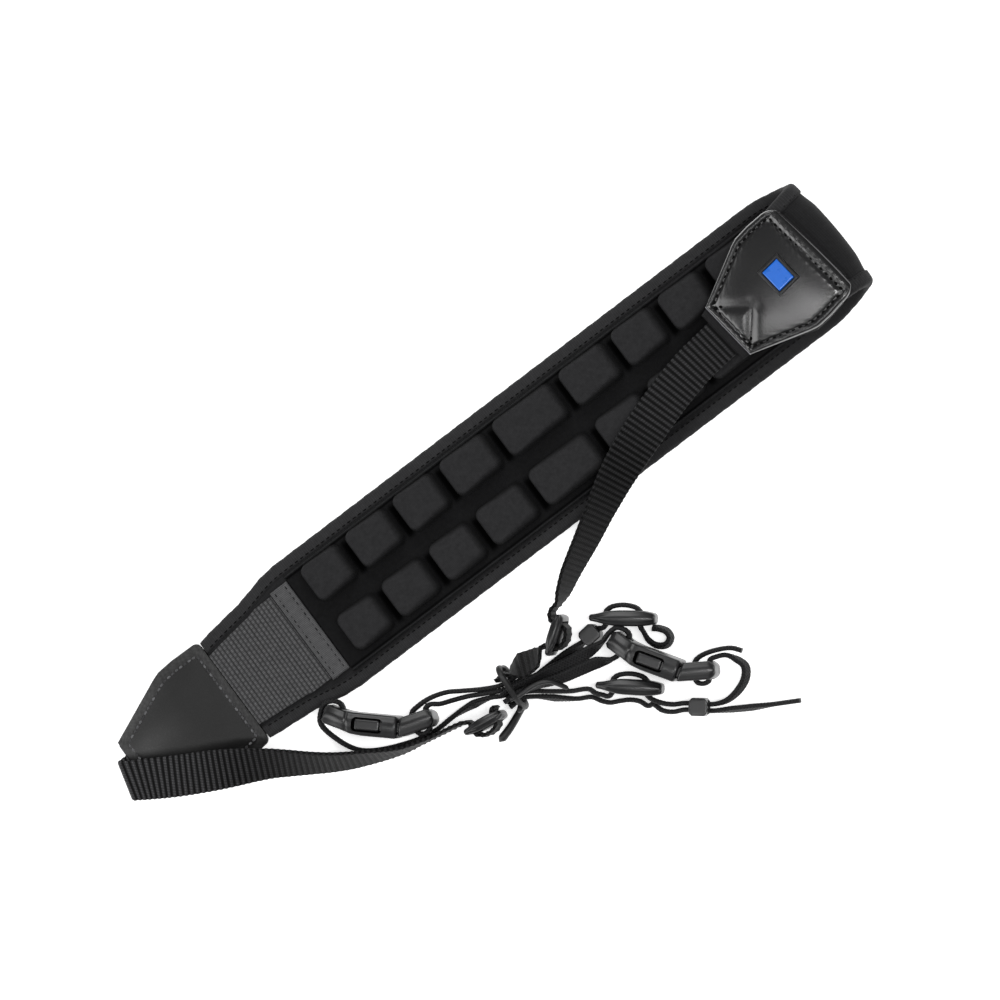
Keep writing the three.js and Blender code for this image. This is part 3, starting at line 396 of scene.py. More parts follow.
def curve_through(points, parameters):
    """Centripetal Catmull-Rom curve: places and directions at parameters 0 ... rows - 1.

    Between p1 and p2 each coordinate is a cubic with end slopes
    (p1 - p0) / d0 - (p2 - p0) / (d0 + d1) + (p2 - p1) / d1, times d1, where d is the square
    root of the distance between neighbours.
    """
    first = 2 * points[0] - points[1]
    last = 2 * points[-1] - points[-2]
    padded = np.concatenate([[first], points, [last]])
    k = np.minimum(parameters.astype(int), len(points) - 2)
    x = (parameters - k)[:, None]
    p0, p1, p2, p3 = (padded[k + i] for i in range(4))
    d0, d1, d2 = (
        np.sqrt(np.linalg.norm(b - a, axis=1, keepdims=True))
        for a, b in ((p0, p1), (p1, p2), (p2, p3))
    )
    m1 = ((p1 - p0) / d0 - (p2 - p0) / (d0 + d1) + (p2 - p1) / d1) * d1
    m2 = ((p2 - p1) / d1 - (p3 - p1) / (d1 + d2) + (p3 - p2) / d2) * d1
    c2 = 3 * (p2 - p1) - 2 * m1 - m2
    c3 = 2 * (p1 - p2) + m1 + m2
    return p1 + x * (m1 + x * (c2 + x * c3)), m1 + x * (2 * c2 + x * 3 * c3)


def route(rows, step):
    """Even steps along a strap: centre, ahead, wide and flat directions, and the arc length."""
    table = np.array([(list(row) + [90, 90])[:5] for row in rows], dtype=float)
    points = table[:, :3] + (BUNDLE_X, 0, 0)
    fine = np.linspace(0, len(rows) - 1, 60 * len(rows))
    places = curve_through(points, fine)[0]
    length = np.concatenate([[0], np.cumsum(np.linalg.norm(np.diff(places, axis=0), axis=1))])
    count = max(8, int(round(length[-1] / step)))
    arc = np.linspace(0, length[-1], count + 1)
    parameters = np.interp(arc, length, fine)
    centre, ahead = curve_through(points, parameters)
    rows_at = np.arange(len(rows))
    azimuth, tilt = (
        np.radians(np.interp(parameters, rows_at, table[:, column])) for column in (3, 4)
    )
    wide = np.stack(
        [np.cos(azimuth) * np.cos(tilt), np.sin(azimuth) * np.cos(tilt), np.sin(tilt)], axis=1
    )
    flat = unit(np.cross(ahead, wide))
    return {"centre": centre, "ahead": unit(ahead), "wide": wide, "flat": flat, "arc": arc}


def sweep(path, across, up):
    """Carries a section along a route: centre + across * wide + up * flat, ring by ring."""
    return (
        path["centre"][:, None, :]
        + across[..., None] * path["wide"][:, None, :]
        + up[..., None] * path["flat"][:, None, :]
    )


# ------------------------------------------------------------------ materials


def add_node(tree, kind, inputs=None, **settings):
    """Adds one node: settings are its choices, inputs its sockets' values, links or nodes."""
    node = tree.nodes.new(kind)
    for key, value in settings.items():
        setattr(node, key, value)
    for key, value in (inputs or {}).items():
        if isinstance(value, bpy.types.Node):
            value = value.outputs[0]
        if isinstance(value, bpy.types.NodeSocket):
            tree.links.new(value, node.inputs[key])
        else:
            node.inputs[key].default_value = value
    return node


def surface_shader(name, roughness, **sockets):
    """A material with one Principled shader; sockets are its constant values."""
    material = bpy.data.materials.new(name)
    material.use_nodes = True
    tree = material.node_tree
    tree.nodes.clear()
    values = {key.replace("_", " "): value for key, value in sockets.items()}
    shader = add_node(tree, "ShaderNodeBsdfPrincipled", {"Roughness": roughness, **values})
    add_node(tree, "ShaderNodeOutputMaterial", {"Surface": shader})
    return material, tree, shader


def dress(tree, shader, rgb, factors, height, depth):
    """Colours a shader and gives it relief.

    Its colour is rgb times every factor and twice the piece's own tone: 0.5 is plain, lower
    is dark, higher is rubbed light. height, 0 to 1, is a bump of depth millimetres.
    """
    tone = add_node(tree, "ShaderNodeAttribute", attribute_name="tone").outputs["Fac"]
    amount = add_node(tree, "ShaderNodeMath", {0: tone, 1: 2.0}, operation="MULTIPLY")
    for factor in factors:
        amount = add_node(tree, "ShaderNodeMath", {0: amount, 1: factor}, operation="MULTIPLY")
    tint = add_node(
        tree, "ShaderNodeVectorMath", {0: rgb, "Scale": amount.outputs[0]}, operation="SCALE"
    )
    bump = add_node(
        tree, "ShaderNodeBump", {"Height": height, "Distance": depth * MM, "Strength": 1.0}
    )
    tree.links.new(tint.outputs[0], shader.inputs["Base Color"])
    tree.links.new(bump.outputs[0], shader.inputs["Normal"])


def cloth(name, rgb, threads, depth, source="UV", contrast=0.5, roughness=0.85,
          specular=0.15, sheen=0.03, joined="MULTIPLY"):
    """Dyed yarn: matt, with fluff, painted lighter on its crowns and darker between them:
    painted light and shade.

    threads has a (pitch in mm, angle in degrees) for each set of rounded lines, and joined
    says how their heights meet: a product for cloth, the larger for plaits.
    """
    material, tree, shader = surface_shader(
        name, roughness, Sheen_Weight=sheen, Sheen_Roughness=0.5, Specular_IOR_Level=specular,
    )
    object_place = add_node(tree, "ShaderNodeTexCoord").outputs["Object"]
    place = add_node(tree, "ShaderNodeUVMap") if source == "UV" else object_place
    height = None
    for pitch, angle in threads:
        turned = add_node(
            tree, "ShaderNodeMapping",
            {"Vector": place, "Rotation": (0, 0, math.radians(angle)),
             "Scale": [2 * math.pi / (pitch * MM)] * 3},
        )
        across = add_node(tree, "ShaderNodeSeparateXYZ", {0: turned})
        wave = add_node(tree, "ShaderNodeMath", {0: across}, operation="SINE")
        line = add_node(
            tree, "ShaderNodeMath", {0: wave, 1: 0.5, 2: 0.5}, operation="MULTIPLY_ADD"
        )
        height = line if height is None else add_node(
            tree, "ShaderNodeMath", {0: height, 1: line}, operation=joined
        )
    fluff = add_node(
        tree, "ShaderNodeTexNoise",
        {"Vector": object_place, "Scale": 0.7 / MM, "Detail": 4.0, "Roughness": 0.65},
    )
    # Painted light and shade: the yarn's crowns lighter, the dips between them darker.
    crowns = add_node(
        tree, "ShaderNodeMapRange",
        {"Value": height, "To Min": 1 - contrast, "To Max": 1 + contrast},
    )
    faded = add_node(tree, "ShaderNodeMapRange", {"Value": fluff, "To Min": 0.6, "To Max": 1.4})
    surface = add_node(
        tree, "ShaderNodeMath", {0: fluff, 1: 0.4, 2: height}, operation="MULTIPLY_ADD"
    )
    dress(tree, shader, rgb, (crowns, faded), surface, depth)
    return material


def leather(name, rgb, roughness, depth, specular, coat):
    """Grained cowhide: small cushions between creases, darker in the creases."""
    material, tree, shader = surface_shader(
        name, roughness, Coat_Weight=coat, Coat_Roughness=0.25, Specular_IOR_Level=specular,
    )
    place = add_node(tree, "ShaderNodeTexCoord").outputs["Object"]
    wander = add_node(tree, "ShaderNodeTexNoise", {"Vector": place, "Scale": 0.6 / MM})
    bent = add_node(
        tree, "ShaderNodeVectorMath", {0: wander.outputs["Color"], 1: [1.2 * MM] * 3, 2: place},
        operation="MULTIPLY_ADD",
    )
    grain = add_node(
        tree, "ShaderNodeTexVoronoi", {"Vector": bent, "Scale": 1.25 / MM},
        feature="DISTANCE_TO_EDGE",
    )
    cushion = add_node(tree, "ShaderNodeMapRange", {"Value": grain, "From Max": 0.3})
    fine = add_node(
        tree, "ShaderNodeTexNoise", {"Vector": place, "Scale": 3.0 / MM, "Detail": 3.0}
    )
    patchy = add_node(
        tree, "ShaderNodeTexNoise", {"Vector": place, "Scale": 0.12 / MM, "Detail": 3.0}
    )
    creased = add_node(
        tree, "ShaderNodeMapRange", {"Value": cushion, "To Min": 0.85, "To Max": 1.05}
    )
    wear_and_painted_sheen = add_node(tree, "ShaderNodeMapRange", {"Value": patchy, "To Min": 0.7, "To Max": 1.3})
    surface = add_node(
        tree, "ShaderNodeMath", {0: fine, 1: 0.5, 2: cushion}, operation="MULTIPLY_ADD"
    )
    dress(tree, shader, rgb, (creased, wear_and_painted_sheen), surface, depth)
    return material


def moulded(name, rgb, roughness, coat=0.0, depth=0.008):
    """Moulded plastic: satin, with faint flow and handling marks in colour and gloss."""
    material, tree, shader = surface_shader(
        name, roughness, Coat_Weight=coat, Coat_Roughness=0.12, Specular_IOR_Level=0.5,
    )
    place = add_node(tree, "ShaderNodeTexCoord").outputs["Object"]
    marks = add_node(
        tree, "ShaderNodeTexNoise", {"Vector": place, "Scale": 0.4 / MM, "Detail": 4.0}
    )
    faded = add_node(
        tree, "ShaderNodeMapRange", {"Value": marks, "To Min": 0.85, "To Max": 1.15}
    )
    fine = add_node(
        tree, "ShaderNodeTexNoise", {"Vector": place, "Scale": 2.0 / MM, "Detail": 2.0}
    )
    gloss = add_node(
        tree, "ShaderNodeMapRange",
        {"Value": marks, "To Min": roughness - 0.06, "To Max": roughness + 0.08},
    )
    dress(tree, shader, rgb, (faded,), fine, depth)
    tree.links.new(gloss.outputs[0], shader.inputs["Roughness"])
    return material


def finishes():
    """All the strap's materials by short name, made once from the colours in the panel."""
    tints = bpy.context.scene.strap_colours
    kept = {m["finish"]: m for m in bpy.data.materials if "finish" in m}
    if kept:
        return kept
    made = {
        # Nylon jersey on foam rubber: a soft matt black with the knit's fine dimples, drawn
        # at 0.6 mm, coarser than such knit usually is, so that they show.
        "neoprene": cloth(
            "Nylon jersey on neoprene", tints.neoprene, ((0.6, 0), (0.6, 90)), 0.03,
            contrast=0.2,
        ),
        # Stretch jersey over air cells: no gloss, a faint bloom where it turns away.
        "cells": cloth(
            "Stretch jersey", tints.cells, ((0.45, 0), (0.45, 90)), 0.02,
            contrast=0.15, roughness=0.8, specular=0.03, sheen=0.01,
        ),
        # Polyester grosgrain: fine ribs that run round the pad's edge.
        "tape": cloth(
            "Polyester binding tape", tints.tape, ((0.7, 0), (0.5, 90)), 0.03, contrast=0.25,
        ),
        # Coarse elastic cloth: its floats are in the mesh, these are the yarns inside them.
        "weave": cloth(
            "Coarse elastic weave", tints.weave, ((0.32, 0), (0.5, 90)), 0.04, contrast=0.4,
        ),
        # Chrome-tanned cowhide, unpolished: grain shows as grey cushions, no clear glare.
        "dull_leather": leather("Matt cowhide", tints.dull_leather, 0.6, 0.025, 0.3, 0.0),
        # The same hide with a polished finish: broad soft glare over a fine grain.
        "gloss_leather": leather(
            "Polished cowhide", tints.gloss_leather, 0.24, 0.006, 0.5, 0.5
        ),
        # Nylon webbing: glassy yarns, fine weft in each rib and dark grooves between.
        "webbing": cloth(
            "Ribbed nylon webbing", tints.webbing, ((0.45, 0), (0.8, 76)), 0.06,
            contrast=0.5, roughness=0.6, specular=0.08,
        ),
        # Flat braid: plaits laid both ways at 35 degrees, with a dull shine.
        "cord": cloth(
            "Flat woven nylon cord", tints.cord, ((0.8, 35), (0.8, -35)), 0.14,
            contrast=0.85, roughness=0.6, specular=0.2, joined="MAXIMUM",
        ),
        # Acetal from a polished mould: satin, with sharp small highlights.
        "moulding": moulded("Moulded acetal", tints.moulding, 0.32),
        # Black ABS rim and a blue enamelled tile under clear lacquer.
        "rim": moulded("Moulded ABS rim", tints.rim, 0.3),
        "tile": moulded("Blue enamel tile", tints.tile, 0.28, coat=0.4),
        # Soft PVC over wire: dull, slightly lumpy.
        "wire": moulded("PVC on wire", tints.wire, 0.5, depth=0.03),
        # Twisted sewing thread, light on the matt shields and black elsewhere.
        "grey_thread": cloth(
            "Grey polyester thread", tints.grey_thread, ((0.4, 30),), 0.03, source="Object",
        ),
        "black_thread": cloth(
            "Black polyester thread", tints.black_thread, ((0.4, 30),), 0.03,
            source="Object", specular=0.1, sheen=0.0,
        ),
    }
    for key, material in made.items():
        material["finish"] = key
    return made


# ------------------------------------------------------------------ cords and webbing


def flat_section(width, thick, count):
    """A flat strap's section: two sides of count steps joined by half rounds.

    Returns across, up and face, which is 1 on the upper side, -1 below and 0 on the rounds.
    """
    r = thick / 2
    side = np.linspace(-(width / 2 - r), width / 2 - r, count + 1)
    turn = np.radians(np.linspace(-67.5, 67.5, 4))
    flat, round_end = np.ones(count + 1), np.zeros(4)
    out, rise = r * np.cos(turn), r * np.sin(turn)
    across = np.concatenate([side, side[-1] + out, side[::-1], side[0] - out])
    up = np.concatenate([-r * flat, rise, r * flat, -rise])
    face = np.concatenate([-flat, round_end, flat, round_end])
    return across, up, face


def strap_uv(path, across, up):
    """UV in metres: arc length along, and the distance round the section."""
    ring = np.stack([across, up], axis=-1)
    steps = np.linalg.norm(np.diff(np.concatenate([ring, ring[:1]]), axis=0), axis=1)
    around = np.concatenate([[0], np.cumsum(steps)])
    u, v = np.meshgrid(path["arc"], around, indexing="ij")
    return np.stack([u, v], axis=-1) * MM


def cord_surface(rows):
    """A flat cord with plaits: thickness + 0.09 |sin(pi (arc / pitch + |across| / 2.4))|.

    Its tone is painted darker where it lies flat: painted shade.
    """
    pitch = bpy.context.scene.strap_sizes.cord_weave
    path = route(rows, 0.28)
    across, up, face = flat_section(CORD_WIDTH - 0.1, CORD_THICK, 10)
    arc = path["arc"][:, None]
    plait = np.abs(np.sin(np.pi * (arc / pitch + np.abs(across)[None] / 2.4)))
    swell = 0.09 * plait * face[None]
    beat = np.abs(np.sin(np.pi * arc / pitch))
    edge = 0.10 * beat * (face == 0)[None] * np.sign(across)[None]
    points = sweep(path, across[None] + edge, up[None] + swell)
    # Painted shade: darker where the cord lies flat.
    tone = (0.28 + 0.22 * np.abs(path["wide"][:, 2]))[:, None]
    uv = strap_uv(path, across, up)
    return path, grid(points, uv=uv, tone=tone)


CORDS = {
    # name: rows, real length in metres, far end
    "cord_sling_left": (CORD_SLING_LEFT, 0.158, "object"),
    "cord_loop_left": (CORD_LOOP_LEFT, 0.088, "object"),
    "cord_sling_right": (CORD_SLING_RIGHT, 0.091, "object"),
    "cord_loop_right": (CORD_LOOP_RIGHT, 0.135, "bare"),
    "cord_tail": (CORD_TAIL, 0.091, "bare"),
}


class StrapCords(bpy.types.Operator):
    """Flat woven cords of the bundle."""

    bl_idname = "strap.cords"
    bl_label = "Cords"

    def execute(self, context):
        material = finishes()["cord"]
        for name, (rows, length, far_end) in CORDS.items():
            path, patch = cord_surface(rows)
            piece = make_piece(f"{name}_woven", [patch], [material], [name])
        return {"FINISHED"}


# ------------------------------------------------------------------ the lie of the pad

GAP = 0.3
PAD_THICK = 3.2
PAD_EDGE = 121.5
BINDING_WIDTH = 4.2
BINDING_HEIGHT = 3.6
PANEL_HALF_WIDTH = 17.8
PANEL_TOP = 4.4
PANEL_END = 88.7
HEM_END = 95.3
CELL_WIDTH = 13.4
CELL_ROWS = (10.2, -8.2)
# Middles and lengths of a row of cells, the same to the left and to the right.
HALF_ROW = ((0, 22.8), (22.6, 17.6), (41.4, 15.6), (59.3, 15.8), (76.7, 14.8))
CELLS = sorted({(x * side, length) for x, length in HALF_ROW for side in (1, -1)})
LEATHER_HOLD = 1.7
FOLD_START = 97.1
FOLD_RADIUS = 7.5
FOLD_TURN = math.radians(186.5)
FOLD_TILT = math.radians(3.4)
FOLD_SWELL = 0.22
PAD_MIDDLE_HEIGHT = 1.8
SHIELD_LENGTH = 38.6
FLAP_LENGTH = 35.0
SHIELD_CORNER = 1.8
OUTER_LEATHER_EDGE = 118.4

# Half widths of the pad from its middle, and of a shield from its wide edge.
PAD_OUTLINE = ((0, 90, 95, 99, 105, 117, 122), (22.5, 22.5, 22.0, 21.1, 19.8, 18.5, 17.8))
SHIELD_OUTLINE = ((0, 10, 15.5, 18, 38.6), (17.8, 18.4, 18.2, 17.5, 9.8))


def lay(s, t, h):
    """Places points of the flat pad: s along it, t across it, h above its underside.

    The left end bends by 2.6 ((-s - 90.5) / 70)^1.5 and climbs onto its leather. The right
    end rolls by d / R round a tilted line, d being the distance past it, and runs on straight;
    the roll is fuller in its middle, by 1 - (t / 23)^2.
    """
    s, t, h = np.broadcast_arrays(s, t, h)
    bend = -2.6 * (np.maximum(0, -s - 90.5) / 70) ** 1.5
    climb = LEATHER_HOLD * smooth_step(96, 119, -s)
    c, k = math.cos(FOLD_TILT), math.sin(FOLD_TILT)
    d = (s - FOLD_START) * c + t * k
    side = -(s - FOLD_START) * k + t * c
    turned = np.clip(d / FOLD_RADIUS, 0, FOLD_TURN)
    beyond = np.maximum(0, d - FOLD_RADIUS * FOLD_TURN)
    reach = FOLD_RADIUS - (h - PAD_MIDDLE_HEIGHT)
    bowed = 1 + FOLD_SWELL * np.maximum(0, 1 - (side / 23) ** 2)
    out = reach * bowed * np.sin(turned) + beyond * np.cos(turned)
    up = -reach * np.cos(turned) + beyond * np.sin(turned)
    rolled = np.stack([
        FOLD_START + out * c - side * k, out * k + side * c,
        PAD_MIDDLE_HEIGHT + FOLD_RADIUS + up,
    ], axis=-1)
    plain = np.stack([s, t + bend, h + climb], axis=-1)
    return np.where((d > 0)[..., None], rolled, plain)


def pad_half(s):
    """The pad's half width, straight between the rows of its outline."""
    return np.interp(np.abs(s), *PAD_OUTLINE)


def shield_half(d, length, corner=SHIELD_CORNER):
    """The shield's half width, with its wide end's corners rounded, for a given length."""
    back = corner - np.clip(d, 0, corner)
    full = np.interp(d * SHIELD_LENGTH / length, *SHIELD_OUTLINE)
    return full - corner + np.sqrt(corner**2 - back**2)


def stations(start, end, step):
    """Even steps of about step millimetres from start to end."""
    return np.linspace(start, end, max(2, int(round(abs(end - start) / step)) + 1))


def slab(s, half, low, top, rounding, raised=None, toned=None, *, count, outer=False):
    """A plate of the pad: stations s, half widths, between the heights low and top.

    All its edges are rounded: top - r + sqrt(r^2 - (r - e)^2), e being the distance to the
    edge. raised(s, t, e) adds relief and toned(s, t, e) gives the tone. count is the number
    of steps across it. outer makes the worked face the lower one.
    """
    # Points lie closer together towards the long edges.
    even = np.linspace(-1, 1, count + 1)
    v = 0.55 * np.sin(even * math.pi / 2 * 0.999) + 0.45 * even
    ends = np.minimum(s - s.min(), s.max() - s)[:, None]
    t = half[:, None] * v[None]
    e = np.minimum(half[:, None] * (1 - np.abs(v))[None], ends)
    inner = rounding - np.minimum(e, rounding)
    lift = -rounding + np.sqrt(np.maximum(rounding**2 - inner**2, 0))
    relief = lift + (raised(s[:, None], t, e) if raised else 0)
    tone = toned(s[:, None], t, e) if toned else np.full(t.shape, 0.5)
    worked = (low - relief) if outer else (top + relief)
    plain = np.full(t.shape, top if outer else low)
    heights = np.concatenate([plain, worked[:, ::-1]], axis=1)
    across = np.concatenate([t, t[:, ::-1]], axis=1)
    points = lay(np.repeat(s[:, None], heights.shape[1], axis=1), across, heights)
    around = np.concatenate([across, across[:, :1]], axis=1)
    uv = np.stack([np.broadcast_to(s[:, None], around.shape), around], axis=-1) * MM
    tones = np.concatenate([tone, tone[:, ::-1]], axis=1)
    return grid(points, uv=uv, tone=tones)


def along_line(corners, pitch):
    """Even steps along a line of (s, t) corners: the middles and the directions."""
    corners = np.array(corners, dtype=float)
    length = np.concatenate([[0], np.cumsum(np.linalg.norm(np.diff(corners, axis=0), axis=1))])
    count = max(1, int(round(length[-1] / pitch)))
    arc = (np.arange(count) + 0.5) * length[-1] / count
    st, ahead = (
        np.stack([np.interp(arc + k, length, corners[:, i]) for i in (0, 1)], axis=-1)
        for k in (0, 0.2)
    )
    return st, ahead - st


def stitches(corners, height, pitch, size, outer=False, tone=0.5):
    """Thread beads along a line of (s, t) corners.

    Each is an ellipsoid (cos a, sin a cos b, sin a sin b) of size (long, wide, high), in the
    piece's second material.
    """
    st, ahead = along_line(corners, pitch)
    s, t = st.T
    place = lay(s, t, height)
    forward = unit(lay(s + ahead[:, 0], t + ahead[:, 1], height) - place)
    up = unit(lay(s, t, height + 0.1) - place) * (-1 if outer else 1)
    side = np.cross(up, forward)
    a = np.linspace(0.02, 0.98, 6) * math.pi
    b = np.linspace(0, 2 * math.pi, 9)[:-1]
    bead = np.stack([
        np.cos(a)[:, None] * np.ones(8), np.sin(a)[:, None] * np.cos(b),
        np.sin(a)[:, None] * np.sin(b),
    ], axis=-1) * (np.array(size) / 2)
    axes = np.stack([forward, side, up], axis=1)
    turned = np.einsum("abk,nkx->nabx", bead, axes) + place[:, None, None]
    tones = tone * (1 + 0.5 * np.sin(2.4 * np.arange(len(st))))
    return [
        grid(points, tone=shade, slot=1)
        for points, shade in zip(turned, tones)
    ]


# ------------------------------------------------------------------ pad


def cell_height(s, t):
    """Height of the air cells over the panel.

    For each cell e is the distance inside its rounded rectangle, and the cushion is
    1 - (1 - e / r)^2.6, where r runs from 1 on the left to 3 on the right, with a slight
    crown (1 - u^2)(1 - v^2).
    """
    crown = bpy.context.scene.strap_sizes.cell_crown
    height = np.zeros(np.broadcast(s, t).shape)
    corner = 3.0
    for row, y in enumerate(CELL_ROWS):
        for x, length in CELLS:
            a, b = length / 2, CELL_WIDTH / 2
            px, py = np.abs(s - x), np.abs(t - y)
            qx, qy = px - (a - corner), py - (b - corner)
            outside = np.hypot(np.maximum(qx, 0), np.maximum(qy, 0))
            e = corner - outside - np.minimum(np.maximum(qx, qy), 0)
            soft = 2.0 + 0.95 * np.tanh((s - x) / (0.6 * a))
            cushion = 1 - (1 - np.clip(e / soft, 0, 1)) ** 2.6
            dome = np.clip(1 - (px / a) ** 2, 0, 1) * np.clip(1 - (py / b) ** 2, 0, 1)
            lean = 1 + 0.03 * math.sin(x * 0.31 + row * 2.0)
            height = np.maximum(height, lean * (crown - 0.5) * cushion + 0.5 * dome)
    return height


def slit_depth(s, t):
    """0 to 1: the deep crease at the left side of each cell that has a left neighbour, and its
    painted shadow.
    """
    depth = np.zeros(np.broadcast(s, t).shape)
    for y in CELL_ROWS:
        for x, length in CELLS[1:]:
            across = np.exp(-((s - (x - length / 2 - 0.75)) / 1.15) ** 4)
            depth = np.maximum(depth, across * (1 - smooth_step(4.4, 6.6, np.abs(t - y + 0.5))))
    return depth


class StrapPad(bpy.types.Operator):
    """Soft core of the pad with its knit covers."""

    bl_idname = "strap.pad"
    bl_label = "Pad"

    def execute(self, context):
        end = PAD_EDGE - GAP
        s = np.concatenate([stations(-end, 95, 3.0), stations(95.5, end, 0.7)])
        half = pad_half(s) - 1.4

        def puffed(s, t, e):
            # The binding draws the cover in by 0.55, and the face swells from it within 9 of
            # its edge. Slow waves sin(s / 7) sin(t / 5) make it uneven.
            drawn = -0.55 * (1 - smooth_step(2.5, 9.0, e))
            return drawn + 0.05 * np.sin(s / 7) * np.sin(t / 5) - 0.05

        core = slab(s, half, 0.0, PAD_THICK, 0.9, puffed, count=48, outer=True)
        patches = [core]
        # A tongue runs on between the shields at each end.
        for side in (-1, 1):
            near, far = PAD_EDGE - 4.3, PAD_EDGE + SHIELD_LENGTH - 4
            tongue = np.sort(side * stations(near, far, 1.0))
            width = np.interp(
                np.abs(tongue), (near, PAD_EDGE, PAD_EDGE + 1, far), (13.5, 13.5, 16.0, 9.0)
            )
            patches.append(slab(tongue, width, 0.0, 1.6, 0.4, count=12))
        pad = make_piece(
            "pad_knit_core", patches, [finishes()["neoprene"]], ["pad_base"]
        )
        return {"FINISHED"}


class StrapCells(bpy.types.Operator):
    """Panel of air cells with its stitched border."""

    bl_idname = "strap.cells"
    bl_label = "Air cells"

    def execute(self, context):
        s = stations(-PANEL_END, PANEL_END, 0.42)
        half = np.full(len(s), PANEL_HALF_WIDTH)
        piping_at, seam_at = 17.3, 16.6

        def raised(s, t, e):
            # Cells, a piping 0.55 exp(-((|t| - 17.3) / 0.38)^2) that its stitches pucker, a
            # groove at its seam, a valley between the rows and a crease beside each cell.
            side = np.abs(t)
            piping = 0.55 * np.exp(-((side - piping_at) / 0.38) ** 2)
            pucker = 1 + 0.18 * np.abs(np.sin(math.pi * s / 2.0))
            groove = -0.35 * np.exp(-((side - seam_at) / 0.25) ** 2)
            valley = -0.3 * np.exp(-((t - 1.0) / 1.3) ** 2)
            crease = -0.5 * slit_depth(s, t)
            return cell_height(s, t) + piping * pucker + groove + valley + crease

        def toned(s, t, e):
            # Painted light and shade: the cells' tops are painted lighter than the valleys
            # between them, the piping's crest gets a painted highlight and each slit is painted
            # near black as its shadow. The seam is darker too.
            crowns = 0.32 * smooth_step(1.5, 5.0, cell_height(s, t))
            painted_piping_highlight = 0.25 * np.exp(-((np.abs(t) - piping_at) / 0.4) ** 2)
            seam = np.exp(-((np.abs(t) - seam_at) / 0.35) ** 2)
            shade = (1 - slit_depth(s, t)) * (1 - 0.8 * seam)
            return (0.17 + crowns + painted_piping_highlight) * shade

        panel = slab(s, half, PAD_THICK + GAP, PANEL_TOP, 0.3, raised, toned, count=94)
        piece = make_piece(
            "air_cell_panel", [panel], [finishes()["cells"]], ["cell_panel"]
        )
        return {"FINISHED"}


class StrapBindings(bpy.types.Operator):
    """Folded tape with its stitches along both edges of the pad."""

    bl_idname = "strap.bindings"
    bl_label = "Bindings"

    def execute(self, context):
        pitch = context.scene.strap_sizes.tape_stitch
        made = finishes()
        for side, name in ((1, "binding_upper"), (-1, "binding_lower")):
            patches = [self.tape(side)]
            reach = PAD_EDGE - GAP - 1.5
            along = stations(-reach, reach, 2.0)
            line = [(k, side * (pad_half(k) - BINDING_WIDTH + 0.75)) for k in along]
            for h, outer in ((BINDING_HEIGHT - 0.05, False), (0.19, True)):
                patches += stitches(line, h, pitch, (1.35, 0.42, 0.34), outer)
            make_piece(
                f"{name}_tape", patches, [made["tape"], made["black_thread"]], [name],
            )
        return {"FINISHED"}

    def tape(self, side):
        """A U section round the edge: its outside is a flattened half ellipse.

        Offsets are from the pad's edge. The stitches draw it in by 0.16 exp(-(x / 0.35)^2).
        """
        s = np.concatenate([
            stations(-PAD_EDGE + GAP, 94, 0.9), stations(94.5, PAD_EDGE - GAP, 0.45)
        ])
        turn = np.linspace(-1, 1, 17) * math.pi / 2
        bulge = BINDING_HEIGHT / 2
        rim = np.sign(np.sin(turn)) * np.abs(np.sin(turn)) ** 0.8
        leg = np.array([-4.2, -3.9, -3.3, -2.6, -2.0])
        foot = np.array([0.35, 0.05, 0.0, 0.0, 0.0])
        out_t = np.concatenate([leg, -1.5 + 1.5 * np.cos(turn) ** 0.8, leg[::-1]])
        out_h = np.concatenate([foot, bulge + bulge * rim, BINDING_HEIGHT - foot[::-1]])
        in_t = np.array([-4.2, -2.5, -0.9, -0.9, -2.5, -4.2])
        in_h = np.array([2.85, 2.8, 2.7, 0.9, 0.8, 0.75])
        offset = np.concatenate([out_t, in_t])[None]
        h = np.concatenate([out_h, in_h])[None]
        pull = np.exp(-((offset + 3.45) / 0.35) ** 2)
        beat = 0.6 + 0.4 * np.cos(math.pi * s)
        pulled = 0.16 * pull * np.sign(h - bulge) * beat[:, None]
        wave = 0.05 * np.sin(s * 0.9)[:, None] + 0.04 * np.sin(s * 2.3 + 1)[:, None]
        t = side * (pad_half(s)[:, None] + offset + wave * (offset > -2))
        points = lay(np.repeat(s[:, None], t.shape[1], axis=1), t, h - pulled)
        ring = np.concatenate([[0], np.cumsum(np.hypot(np.diff(offset[0]), np.diff(h[0])))])
        around = np.append(ring, ring[-1] + 2.5)
        uv = np.stack(np.meshgrid(s, around, indexing="ij"), axis=-1) * MM
        # The lower binding is painted a little darker than the upper one: painted shade. The
        # tape is darker within 1 of its inner edge.
        lip = smooth_step(-4.2, -3.2, offset) * np.ones((len(s), 1))
        tone = 0.27 + 0.03 * side + 0.2 * lip
        return grid(points, uv=uv, tone=tone)


